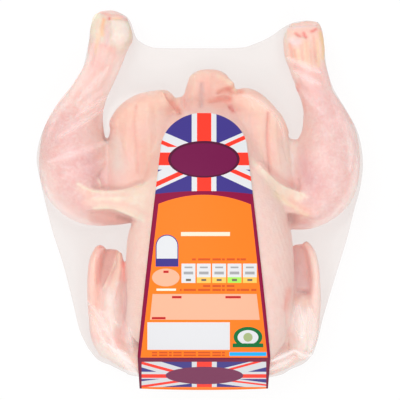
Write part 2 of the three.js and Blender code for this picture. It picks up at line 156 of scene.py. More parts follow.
# The bird's limbs: how full a section is, how blunt the two ends are, and stations of
# x, y and z of the middle, half width, reach upwards and reach downwards
LIMBS = {
    "breast": (2.5, 0.45, 0.7, [
        (3, -116, 42, 44, 34, 36), (4.5, -105, 46, 60, 46, 47), (6, -85, 49, 65, 53, 55),
        (7.5, -56, 50, 65.5, 56, 56), (7.5, -30, 50, 64, 55, 56), (7, -14, 50, 60, 53, 54),
        (5, 18, 46, 50, 47, 48), (4, 46, 40, 38, 35, 40), (4, 62, 34, 26, 24, 30),
    ]),
    "left_belly": (2.2, 0.7, 0.75, [
        (-46, 6, 38, 29, 28, 33), (-46, 34, 37, 28, 27, 31), (-42, 57, 35, 27, 24, 28),
    ]),
    "right_belly": (2.2, 0.7, 0.75, [
        (48, 6, 38, 29, 28, 33), (46, 34, 37, 26, 27, 31), (42, 55, 35, 26, 24, 28),
    ]),
    "left_vent_fold": (2, 0.6, 0.8, [
        (-60.5, 56, 33, 12.5, 20, 20), (-54, 65, 33, 13, 21, 20), (-43, 70.5, 34, 14, 21, 20),
        (-28, 75, 35, 12, 18, 18),
    ]),
    "right_vent_fold": (2, 0.6, 0.8, [
        (60, 50, 33, 11, 20, 20), (50, 65, 33, 12, 21, 20), (38, 75.5, 34, 12, 19, 18),
        (29, 77, 34, 10, 16, 16),
    ]),
    "left_vent_floor": (2, 0.6, 0.6, [(-22, 66, 32, 13, 14, 14), (-8, 70, 32, 13, 14, 14)]),
    "tail": (2.2, 0.5, 0.55, [
        (6, 60, 33, 26, 22, 24), (6.5, 76, 33, 20.5, 15, 18), (7, 87, 33, 18.4, 12, 13),
        (7, 94, 33, 16.4, 10, 11),
    ]),
    "tail_fold": (2, 0.6, 0.8, [(10, 78, 35, 8, 13, 12), (17, 86, 34.5, 7, 11, 11), (23, 90, 34, 5, 8, 8)]),
    "left_leg": (2, 0.6, 0.6, [
        (-70.4, 133, 21.5, 14.4, 11, 12), (-73, 121, 22.5, 15.6, 13, 13), (-77.3, 105.3, 24, 13.6, 13.5, 14),
        (-87.6, 84.2, 28, 14.8, 16, 17), (-94.6, 68.6, 31, 19.2, 21, 22), (-98.6, 51.5, 34.5, 24.6, 27, 27),
        (-98.5, 33.5, 37, 27.6, 31, 31), (-96.7, 15.6, 38, 26.8, 30, 32), (-86, 4, 38, 23.5, 26, 31),
        (-68.6, 5, 36, 25, 15, 29), (-50, 10, 36, 27, 17, 29),
    ]),
    "left_knuckle": (2, 0.7, 0.85, [
        (-80, 122, 23, 6.4, 9, 9), (-79.7, 131, 22.5, 7.6, 11.5, 11), (-78, 142.4, 22, 7.4, 10, 10),
    ]),
    "left_knob": (2.2, 0.9, 0.8, [
        (-63.8, 121, 24, 7.5, 11, 11), (-63.6, 128, 23.5, 10.6, 12.5, 12), (-64.6, 137, 22.5, 9.4, 10, 10),
    ]),
    "left_rim": (2, 0.5, 0.6, [
        (-78, 142, 22, 7.6, 9, 9), (-70, 142.6, 22, 7.6, 9, 9), (-61.5, 139.4, 22, 6.8, 8.5, 8),
    ]),
    "right_leg": (2, 0.5, 0.6, [
        (82, 133, 21.5, 14.4, 11, 12), (82.6, 119, 22.5, 16.4, 13, 13.5), (84.6, 107.6, 24, 14.6, 14, 14.5),
        (89.9, 89.7, 27, 13.4, 15.5, 16.5), (93.2, 79.6, 29, 13.4, 17, 18), (97.1, 68.6, 31, 16.4, 21, 21),
        (100.6, 51.5, 34.5, 22.2, 27, 27), (98.8, 32, 37, 26.8, 31, 31), (95.5, 12, 38, 26.5, 30, 32),
        (84.2, 0.5, 38, 23, 26, 31), (70, 2, 36, 25, 15, 29), (54, 8, 36, 27, 17, 29),
    ]),
    "right_knuckle": (2.2, 0.7, 0.7, [
        (74.5, 119, 23, 7.5, 10, 10), (74, 127, 22.5, 8, 11.5, 11), (77, 134.5, 22, 7.4, 9.5, 10),
    ]),
    "right_knob": (2.2, 0.7, 0.8, [
        (90.6, 116, 23, 8, 11, 11), (90, 127, 22.5, 8, 12, 11), (88.6, 135.5, 22, 7.4, 9.5, 10),
    ]),
    "right_rim": (2, 0.5, 0.5, [
        (72.4, 130.6, 22, 6.4, 9, 9), (82, 134.6, 22, 6.8, 9, 9), (91, 135.2, 22, 6.4, 8, 8),
    ]),
    "left_groin": (2, 0.3, 1, [(-68, 39, 30, 20, 16, 19), (-66, 16, 32, 22, 17, 21)]),
    "left_groin_side": (2, 0.5, 1, [(-77, 40, 36, 11, 14, 14), (-75, 18, 37, 14, 16, 16)]),
    "right_groin": (2, 0.4, 1, [(70, 41, 30, 18, 16, 19), (68, 14, 32, 22, 17, 21)]),
    "right_groin_side": (2, 0.5, 1, [(79, 40, 36, 11, 14, 14), (76, 16, 37, 14, 16, 16)]),
    "left_web": (2, 0.6, 0.6, [
        (-92, 1, 58, 10, 6, 8), (-78, 0, 58.5, 7, 5, 7), (-65, 0, 61.5, 7.3, 4.6, 7),
        (-51, -2, 69, 11.5, 5, 8), (-38, -3, 77, 17, 6, 10),
    ]),
    "right_web": (2, 0.6, 0.6, [
        (40, 20, 77, 12, 6, 10), (50, 9, 71, 10, 5, 8), (58, 4, 67, 9, 4.6, 7), (67, 0, 62.5, 9, 4.6, 7),
        (78, -3, 60, 9, 5, 7), (90, -6, 58, 9, 6, 8),
    ]),
    "left_forearm": (2, 0.8, 0.6, [
        (-78, -39, 36, 4.6, 9, 12), (-81.6, -47, 37, 5, 10, 14), (-82.9, -60, 37, 5.4, 11, 15),
        (-82.6, -75, 36, 6, 12, 16), (-80, -92, 34, 7.5, 14, 17), (-77, -106, 32, 9, 14, 16),
        (-71, -118, 31, 9, 13, 14),
    ]),
    "left_upper_wing": (2, 1, 0.6, [
        (-62.6, -42, 44, 1.6, 3, 8), (-62.4, -52, 44, 3.4, 6, 14), (-64.5, -62, 43, 5.8, 8, 18),
        (-67.5, -72, 41, 8.4, 10, 20), (-68.5, -88, 38, 9.6, 13, 20), (-68, -106, 35, 10.5, 15, 18),
        (-65, -118, 33, 10, 14, 16),
    ]),
    "left_wing_floor": (2.4, 0.4, 0.5, [
        (-72.5, -42.5, 27, 9.4, 9, 8), (-71.5, -54, 28, 10, 10, 9), (-74, -70, 31, 9, 13, 12),
        (-75, -96, 32, 8, 14, 12),
    ]),
    "left_armpit": (2, 0.8, 0.8, [
        (-58, -58, 34, 6, 10, 12), (-57, -80, 34, 8, 12, 12), (-56, -108, 35, 11, 13, 14),
    ]),
    "left_shoulder": (2, 0.5, 0.5, [
        (-70, -113, 34, 11, 14, 14), (-58, -121, 37, 11, 16, 16), (-44, -126, 40, 11, 18, 18),
    ]),
    "right_forearm": (2, 0.8, 0.6, [
        (83, -35, 36, 3, 8, 12), (87, -42, 37, 3.8, 9, 13), (89.3, -53, 37, 4.1, 10, 15),
        (90, -66, 37, 4.4, 11, 15),
        (88.8, -80, 35, 6.2, 13, 16), (86, -95, 33, 8, 14, 16), (83, -110, 32, 8.8, 14, 15),
        (77, -120, 31, 8.5, 13, 14),
    ]),
    "right_upper_wing": (2.2, 0.35, 0.6, [
        (78.5, -77, 40, 9.5, 12, 20), (78.5, -90, 39, 11.5, 14, 20), (77.5, -105, 36, 12, 15, 19),
        (72, -119, 33, 11, 14, 16),
    ]),
    "right_wing_floor": (2, 0.5, 0.5, [
        (78.5, -38, 28, 6.5, 8, 8), (79, -54, 29, 8, 9, 9), (80, -70, 31, 8, 12, 12),
    ]),
    "right_armpit": (2, 0.8, 0.8, [
        (70, -58, 34, 6, 10, 12), (69, -80, 35, 8, 14, 12), (66, -108, 35, 11, 15, 14),
    ]),
    "right_shoulder": (2, 0.5, 0.5, [
        (75, -116, 34, 11, 14, 14), (62, -123, 37, 11, 16, 16), (48, -128, 40, 11, 17, 18),
    ]),
}


def placed(name, mesh):
    """A mesh as an object of the scene."""
    made = bpy.data.objects.new(name, mesh)
    bpy.context.scene.collection.objects.link(made)
    return made


def object_of(name, points, faces, smooth=True):
    """A mesh object from millimetre points and faces given as arrays or lists of corner numbers."""
    mesh = bpy.data.meshes.new(name)
    mesh.from_pydata((np.asarray(points) * MM).tolist(), [], [list(map(int, f)) for f in faces])
    mesh.update()
    mesh.polygons.foreach_set("use_smooth", np.full(len(mesh.polygons), smooth))
    return placed(name, mesh)


def points_of(made):
    """An object's vertices in millimetres, one row each."""
    flat = np.empty(len(made.data.vertices) * 3, np.float32)
    made.data.vertices.foreach_get("co", flat)
    return flat.reshape(-1, 3).astype(float) / MM


def set_points(made, points):
    """Moves an object's vertices to millimetre points."""
    made.data.vertices.foreach_set("co", (points * MM).astype(np.float32).ravel())
    made.data.update()


def normals_of(made):
    """An object's vertex normals, one row each."""
    flat = np.empty(len(made.data.vertices) * 3, np.float32)
    made.data.vertex_normals.foreach_get("vector", flat)
    return flat.reshape(-1, 3).astype(float)


def set_attribute(made, name, values):
    """Writes an attribute of the vertices: one number for each, or one colour with its opacity."""
    values = np.asarray(values, np.float32)
    coloured = values.ndim == 2
    layer = made.data.attributes.new(name, "FLOAT_COLOR" if coloured else "FLOAT", "POINT")
    layer.data.foreach_set("color" if coloured else "value", values.ravel())


def drawn(points):
    """Where points are seen on the sheet: their x and y over the width that a square has at their height."""
    width = SQUARE * (EYE_HEIGHT - points[:, 2]) / (EYE_HEIGHT - DRAWN_HEIGHT)
    return np.column_stack([SHEET_MIDDLE + points[:, 0] / width, SHEET_MIDDLE - points[:, 1] / width])


def light_of(colours):
    """Colours as seen, 0 to 1, as the light values that shaders use: the value over 12.92 near black, and
    elsewhere the value and 0.055, over 1.055, to the power of 2.4."""
    seen = np.asarray(colours, float)
    return np.where(seen <= 0.04045, seen / 12.92, ((seen + 0.055) / 1.055) ** 2.4)


def linear_of(colour):
    """One colour as seen as a shader's light values, opaque."""
    return [*light_of(colour).tolist(), 1.0]


def through(stations, steps):
    """A smooth line through stations: on each span the cubic that passes its two stations with the slope
    from the one before to the one after, at `steps` even shares."""
    s = np.asarray(stations, float)
    p = np.vstack([2 * s[0] - s[1], s, 2 * s[-1] - s[-2]])
    place = np.linspace(0, len(s) - 1, (len(s) - 1) * steps + 1)
    span = np.minimum(place.astype(int), len(s) - 2)
    t = (place - span)[:, None]
    a, b, c, d = p[span], p[span + 1], p[span + 2], p[span + 3]
    return 0.5 * (2 * b + (c - a) * t + (2 * a - 5 * b + 4 * c - d) * t**2 + (3 * b - a - 3 * c + d) * t**3)


def evenly(stations, shares):
    """Points on the smooth line through stations at the given shares of its length."""
    line = through(stations, EDGE_STEPS)
    run = np.concatenate([[0], np.cumsum(np.linalg.norm(np.diff(line[:, :3], axis=0), axis=1))])
    return np.column_stack([np.interp(shares, run / run[-1], line[:, k]) for k in range(line.shape[1])])


def grid_faces(rows, columns, closed=False):
    """The quads of a grid of points in rows; closed joins each row's two ends."""
    width = columns if closed else columns - 1
    j, i = np.meshgrid(np.arange(rows - 1), np.arange(width), indexing="ij")
    n = (i + 1) % columns
    here, above = j * columns, (j + 1) * columns
    return np.stack([here + i, here + n, above + n, above + i], axis=-1).reshape(-1, 4)


def slab_faces(rows, columns, flipped=False):
    """The faces of a closed slab: a grid, the same grid turned round behind it, whose points come after
    the first one's, and the walls between their edges. Flipped, each face is turned round."""
    count = rows * columns
    front = grid_faces(rows, columns)
    index = np.arange(count).reshape(rows, columns)
    rim = np.concatenate([index[0, :-1], index[:-1, -1], index[-1, :0:-1], index[:0:-1, 0]])
    after = np.roll(rim, -1)
    walls = np.column_stack([after, after + count, rim + count, rim])
    faces = np.vstack([front, front[:, ::-1] + count, walls])
    return faces[:, ::-1] if flipped else faces


def limb(fullness, blunt_start, blunt_end, stations):
    """A closed tube whose rounded section is carried along the stations' line.

    At angle a the section is half width times cos a to the side and the reach up or down times sin a, both
    raised to 2 over the fullness. At each end the rings shrink with cos b while they move on by the half
    width times the end's bluntness times sin b, for b from 0 to a right angle."""
    line = through(stations, LIMB_STEPS)
    heading = np.gradient(line[:, :3], axis=0)
    heading /= np.linalg.norm(heading, axis=1)[:, None]
    b = np.radians(CAP_ANGLES)
    ends = []
    for k, way, blunt in ((0, -1, blunt_start), (-1, 1, blunt_end)):
        rings = np.repeat(line[[k]], len(b), axis=0)
        rings[:, :3] += way * blunt * line[k, 3] * np.sin(b)[:, None] * heading[k]
        rings[:, 3:] *= np.cos(b)[:, None]
        ends.append(rings)
    line = np.vstack([ends[0], line, ends[1][::-1]])
    heading = np.vstack([np.repeat(heading[:1], len(b), 0), heading, np.repeat(heading[-1:], len(b), 0)])
    side = np.cross(heading, [0, 0, 1])
    side /= np.linalg.norm(side, axis=1)[:, None]
    lift = np.cross(side, heading)
    a = np.linspace(0, 2 * np.pi, LIMB_SIDES, endpoint=False)
    across = np.sign(np.cos(a)) * np.abs(np.cos(a)) ** (2 / fullness)
    height = np.sign(np.sin(a)) * np.abs(np.sin(a)) ** (2 / fullness)
    reach = np.where(height[None, :] > 0, line[:, 4:5], line[:, 5:6]) * height
    sideways = side[:, None] * (line[:, 3:4] * across)[..., None]
    points = line[:, None, :3] + sideways + lift[:, None] * reach[..., None]
    faces = [list(quad) for quad in grid_faces(len(line), LIMB_SIDES, closed=True)]
    first_ring = list(range(LIMB_SIDES))
    faces.append(first_ring[::-1])
    faces.append([corner + (len(line) - 1) * LIMB_SIDES for corner in first_ring])
    return points.reshape(-1, 3), faces


def line_distance(places, line):
    """Each place's distance to a drawn line of straight pieces, and the share of the line's length at which
    it is nearest."""
    line = np.asarray(line, float)
    if len(line) == 1:
        return np.linalg.norm(places - line[0], axis=1), np.zeros(len(places))
    best, share = np.full(len(places), np.inf), np.zeros(len(places))
    runs = np.concatenate([[0], np.cumsum(np.linalg.norm(np.diff(line, axis=0), axis=1))])
    for k, (start, end) in enumerate(zip(line[:-1], line[1:])):
        way = end - start
        t = np.clip((places - start) @ way / (way @ way), 0, 1)
        far = np.linalg.norm(places - start - t[:, None] * way, axis=1)
        near = far < best
        best[near] = far[near]
        share[near] = ((runs[k] + t * (runs[k + 1] - runs[k])) / runs[-1])[near]
    return best, share


def stroke(places, line, radius, edge=2.0, taper=False):
    """How much of a brush stroke reaches each place: one on the line and falling with the distance over
    the radius, as e to minus its power `edge`; tapered strokes thin out towards both ends."""
    far, share = line_distance(places, through(line, STROKE_STEPS) if len(line) > 2 else line)
    width = radius * (THIN_END + (1 - THIN_END) * np.sin(np.pi * share)) if taper else radius
    return np.exp(-((far / width) ** edge))


def patch(places, outline, soft):
    """How far each place lies inside a drawn outline: one inside, none outside, and a ramp `soft` squares
    wide on each side of the outline."""
    x, y = places[:, 0], places[:, 1]
    inside = np.zeros(len(places), bool)
    for (x0, y0), (x1, y1) in zip(outline, outline[1:] + outline[:1]):
        crosses = (y0 > y) != (y1 > y)
        inside ^= crosses & (x < x0 + (y - y0) * (x1 - x0) / (y1 - y0 + 1e-9))
    far, _ = line_distance(places, outline + outline[:1])
    return np.clip(0.5 + np.where(inside, far, -far) / (2 * soft), 0, 1)


def painted(places, radius, edge, line):
    """A brush stroke along the line, or with no radius the patch that the line encloses."""
    return stroke(places, line, radius, edge) if radius else patch(places, line, edge)


# The card

def height_on(line, y):
    """The height at which a line of (y, z) points passes y, followed straight on beyond its ends."""
    line = np.asarray(line, float)[::-1]
    k = np.clip(np.searchsorted(line[:, 0], y) - 1, 0, len(line) - 2)
    y0, z0, y1, z1 = line[k, 0], line[k, 1], line[k + 1, 0], line[k + 1, 1]
    return z0 + (z1 - z0) * (y - y0) / (y1 - y0)


def card_stations(arch_rows, panel_rows, flap_rows):
    """The card's rows from its rounded end to the flap's edge: y, z, half width and outward normal (y, z).

    At angle a, from ARCH_START to a right angle, the rounded end is ARCH_RISE times cos a beyond the
    shoulder and CARD_SHOULDER times sin a to each side. The panel then widens evenly down to the fold."""
    line = through(PANEL_LINE, PANEL_STEPS)
    shoulder, fold = PANEL_LINE[0][0] - ARCH_RISE, PANEL_LINE[-1][0]
    a = np.radians(np.linspace(ARCH_START, 90, arch_rows + 1))
    t = np.linspace(0, 1, panel_rows + 1)[1:]
    y = np.concatenate([shoulder + ARCH_RISE * np.cos(a), shoulder + (fold - shoulder) * t])
    z = height_on(line, y)
    half = np.concatenate([CARD_SHOULDER * np.sin(a), CARD_SHOULDER + (CARD_FOOT - CARD_SHOULDER) * t])
    f = np.linspace(0, 1, flap_rows + 1)[1:]
    y = np.concatenate([y, y[-1] + (FLAP_END[0] - y[-1]) * f])
    z = np.concatenate([z, z[-1] + (FLAP_END[1] - z[-1]) * f])
    half = np.concatenate([half, np.full(flap_rows, CARD_FOOT)])
    way = np.gradient(np.column_stack([y, z]), axis=0)
    way /= np.linalg.norm(way, axis=1)[:, None]
    return np.column_stack([y, z, half, way[:, 1], -way[:, 0]])


def ceiling(x, y, gap=CARD_GAP):
    """The highest that anything may reach over (x, y): the card's underside on and near the card."""
    rows = card_stations(*CEILING_ROWS)
    under = np.column_stack([rows[:, 0] - gap * rows[:, 3], rows[:, 1] - gap * rows[:, 4]])
    across = np.abs(x - CARD_CENTRE)
    half = height_on(rows[:, [0, 2]], np.minimum(y, rows[1, 0]))
    off = (across > half + PRESSED_MARGIN) | (y > PANEL_LINE[0][0] + PRESSED_MARGIN)
    return np.where(off, np.inf, height_on(under, y) - CARD_DROOP * (across / CARD_FOOT) ** 2)


def card_piece():
    """The card: rows of points across its stations, drooping with the square of the distance from the
    middle line, with a front, a back and the edge between them. Its UV map is its place on the sheet."""
    rows = card_stations(*CARD_ROWS)
    across = np.linspace(-1, 1, CARD_COLUMNS)[None, :] * rows[:, 2:3]
    droop = CARD_DROOP * (across / CARD_FOOT) ** 2
    sides = []
    for offset in (CARD_THICKNESS, 0):
        y = rows[:, 0:1] + rows[:, 3:4] * offset + 0 * across
        z = rows[:, 1:2] + rows[:, 4:5] * offset - droop
        sides.append(np.stack([CARD_CENTRE + across, y, z], axis=-1).reshape(-1, 3))
    front, back = sides
    faces = slab_faces(len(rows), CARD_COLUMNS, flipped=True)
    made = object_of("printed_card", np.vstack([front, back]), faces)
    number = np.arange(len(made.data.polygons))
    faces_of_front = (len(rows) - 1) * (CARD_COLUMNS - 1)
    made.data.polygons.foreach_set("use_smooth", number < 2 * faces_of_front)
    made.data.polygons.foreach_set("material_index", (number >= faces_of_front).astype(np.int32))
    place = drawn(np.vstack([front, front])) / SHEET_SQUARES
    corners = np.empty(len(made.data.loops), np.int32)
    made.data.loops.foreach_get("vertex_index", corners)
    layer = made.data.uv_layers.new(name="sheet")
    layer.data.foreach_set("uv", np.column_stack([place[corners, 0], 1 - place[corners, 1]]).ravel())
    return made


# The bird

def applied(made):
    """The mesh that an object's modifiers give, and the object removed."""
    done = bpy.data.meshes.new_from_object(made.evaluated_get(bpy.context.evaluated_depsgraph_get()))
    bpy.data.objects.remove(made)
    return done


def fused_limbs():
    """All limbs as one closed skin: their tubes together, remeshed to even faces and smoothed, with fewer
    faces on the underside."""
    points, faces, count = [], [], 0
    for fullness, blunt_start, blunt_end, stations in LIMBS.values():
        more, sides = limb(fullness, blunt_start, blunt_end, stations)
        points.append(more)
        faces += [[corner + count for corner in face] for face in sides]
        count += len(more)
    rough = object_of("limbs", np.vstack(points), faces)
    fuse = rough.modifiers.new("fuse", "REMESH")
    fuse.mode = "VOXEL"
    fuse.voxel_size = FUSE_CELL * MM
    soften = rough.modifiers.new("soften", "SMOOTH")
    soften.factor = 0.5
    soften.iterations = SMOOTHING
    even = placed("even", applied(rough))
    below = np.flatnonzero(normals_of(even)[:, 2] < UNDERSIDE_SLANT)
    group = even.vertex_groups.new(name="below")
    group.add(below.tolist(), 1.0, "REPLACE")
    thin = even.modifiers.new("thin", "DECIMATE")
    thin.vertex_group = "below"
    thin.ratio = 1 - (1 - UNDERSIDE_SHARE) * len(below) / len(even.data.vertices)
    bird = placed("bird", applied(even))
    bird.vertex_groups.clear()
    bird.data.polygons.foreach_set("use_smooth", np.full(len(bird.data.polygons), True))
    return bird


# Folds and ridges of the skin: a drawn line, its half width in squares and its height in millimetres
FOLDS = [
    ([(165, 94), (171, 102), (179, 113)], 2.6, -3.0),
    ([(160, 92), (168, 100), (175, 113)], 3.0, 1.4),
    ([(147, 93), (149, 108), (148, 118)], 3.0, 0.6),
    ([(136, 104), (134, 128), (137, 147), (138, 174)], 1.8, -1.1),
    ([(147, 118), (150, 140), (149, 165)], 2.2, 0.6),
    ([(154, 108), (156, 130), (156, 150)], 1.8, -0.5),
    ([(128, 112), (126, 138), (129, 165)], 2.6, 0.6),
    ([(119, 118), (119, 132), (122, 150)], 2.0, -0.5),
    ([(268.5, 112), (267.5, 135), (268.5, 152), (270, 172)], 1.8, -2.0),
    ([(275, 118), (276, 145), (280, 168)], 2.4, 0.9),
    ([(261, 108), (260, 140), (262, 160)], 2.8, 0.6),
    ([(251, 100), (251, 120), (253, 150)], 2.2, -0.5),
    ([(283, 124), (284, 145), (287, 160)], 1.8, -0.5),
    ([(201.6, 82), (201, 106)], 2.2, -1.6),
    ([(195, 76), (194, 92), (192, 108)], 2.6, 0.9),
    ([(210, 74), (209, 90), (208, 100)], 2.6, 0.8),
    ([(218, 93), (227, 89), (238, 92)], 2.2, -2.4),
    ([(217, 86), (225, 80), (233, 84)], 2.4, 0.9),
    ([(210, 102), (220, 99), (229, 98)], 2.0, -1.6),
    ([(214, 96), (224, 95), (234, 96)], 1.6, 1.0),
    ([(229, 106), (233, 108)], 2.2, -1.6),
    ([(181, 97), (184, 108)], 2.2, -2.0),
    ([(187, 96), (186, 108)], 1.8, 0.8),
    ([(105.5, 130), (106.5, 141)], 2.2, -3.0),
    ([(80, 184), (89, 189), (101, 191), (117, 191), (133, 187.6), (147, 182)], 1.5, 0.8),
    ([(92, 186), (108, 187.5), (124, 187), (138, 182)], 2.2, -1.0),
    ([(86, 210.5), (94, 208.5), (110, 208.5), (125, 212.5), (144, 221)], 1.5, 0.8),
    ([(92, 213.5), (110, 213.5), (124, 218), (136, 222)], 2.2, -1.2),
    ([(90, 197), (115, 198), (145, 196)], 1.6, 0.5),
    ([(92, 203), (115, 203.5), (140, 206)], 1.4, -0.5),
    ([(258, 165), (268, 174.5), (280, 184.4), (291, 190), (303, 194), (313, 197)], 1.5, 0.8),
    ([(262, 164), (272, 173), (284, 182), (298, 189)], 2.2, -1.0),
    ([(275, 193), (289, 203), (304, 215)], 1.7, 0.9),
    ([(283, 205), (288, 211), (296, 212)], 1.4, 0.8),
    ([(289, 216), (293, 222)], 3.2, -1.2),
    ([(98, 178), (101, 187)], 1.2, 0.9),
    ([(124, 274), (125, 300), (124, 322)], 1.6, -1.5),
    ([(286, 296), (287.5, 322), (288.6, 352)], 1.6, -1.4),
    ([(116, 258), (110, 276), (103, 289)], 1.5, 1.2),
    ([(119, 253), (119, 275), (114, 300)], 2.0, 0.8),
    ([(98, 250), (97, 268), (98, 285)], 2.0, -0.8),
    ([(295.7, 291.3), (302, 296), (309.5, 295.2)], 1.6, 1.0),
    ([(95, 300), (104, 324), (112, 344)], 2.0, -0.8),
    ([(110, 326), (108, 345)], 2.4, -0.9),
    ([(112, 352), (124, 360)], 2.0, -1.0),
    ([(294, 316), (298, 340)], 2.4, -0.7),
    ([(304, 310), (307, 330), (305, 350)], 2.4, 0.6),
    ([(296, 86), (297.5, 92)], 1.4, 1.2),
    ([(299, 93), (303, 100)], 2.0, -0.8),
    ([(108.4, 17), (109, 24), (108.6, 34), (106, 46)], 1.8, -1.3),
    ([(103, 28), (101, 44)], 1.6, 0.7),
    ([(111, 17), (120, 18.5), (129, 21)], 1.4, -0.9),
    ([(98, 44), (96, 60), (90, 76)], 2.6, 0.7),
    ([(112, 48), (106, 66), (98, 84)], 2.2, -0.6),
    ([(286, 27), (303, 24.5), (318, 25)], 1.4, -1.2),
    ([(296, 34), (304, 36)], 2.0, -1.4),
    ([(304, 34), (306, 38)], 2.0, -1.2),
    ([(312, 31), (316, 29)], 1.6, -1.0),
    ([(303, 42), (304, 60)], 1.6, -0.9),
    ([(309, 40), (310, 64)], 1.4, 0.7),
    ([(316, 38), (317.5, 62)], 1.6, -0.8),
    ([(290, 44), (293, 60)], 1.8, -0.7),
    ([(296, 66), (306, 86), (318, 104)], 2.4, 0.5),
]
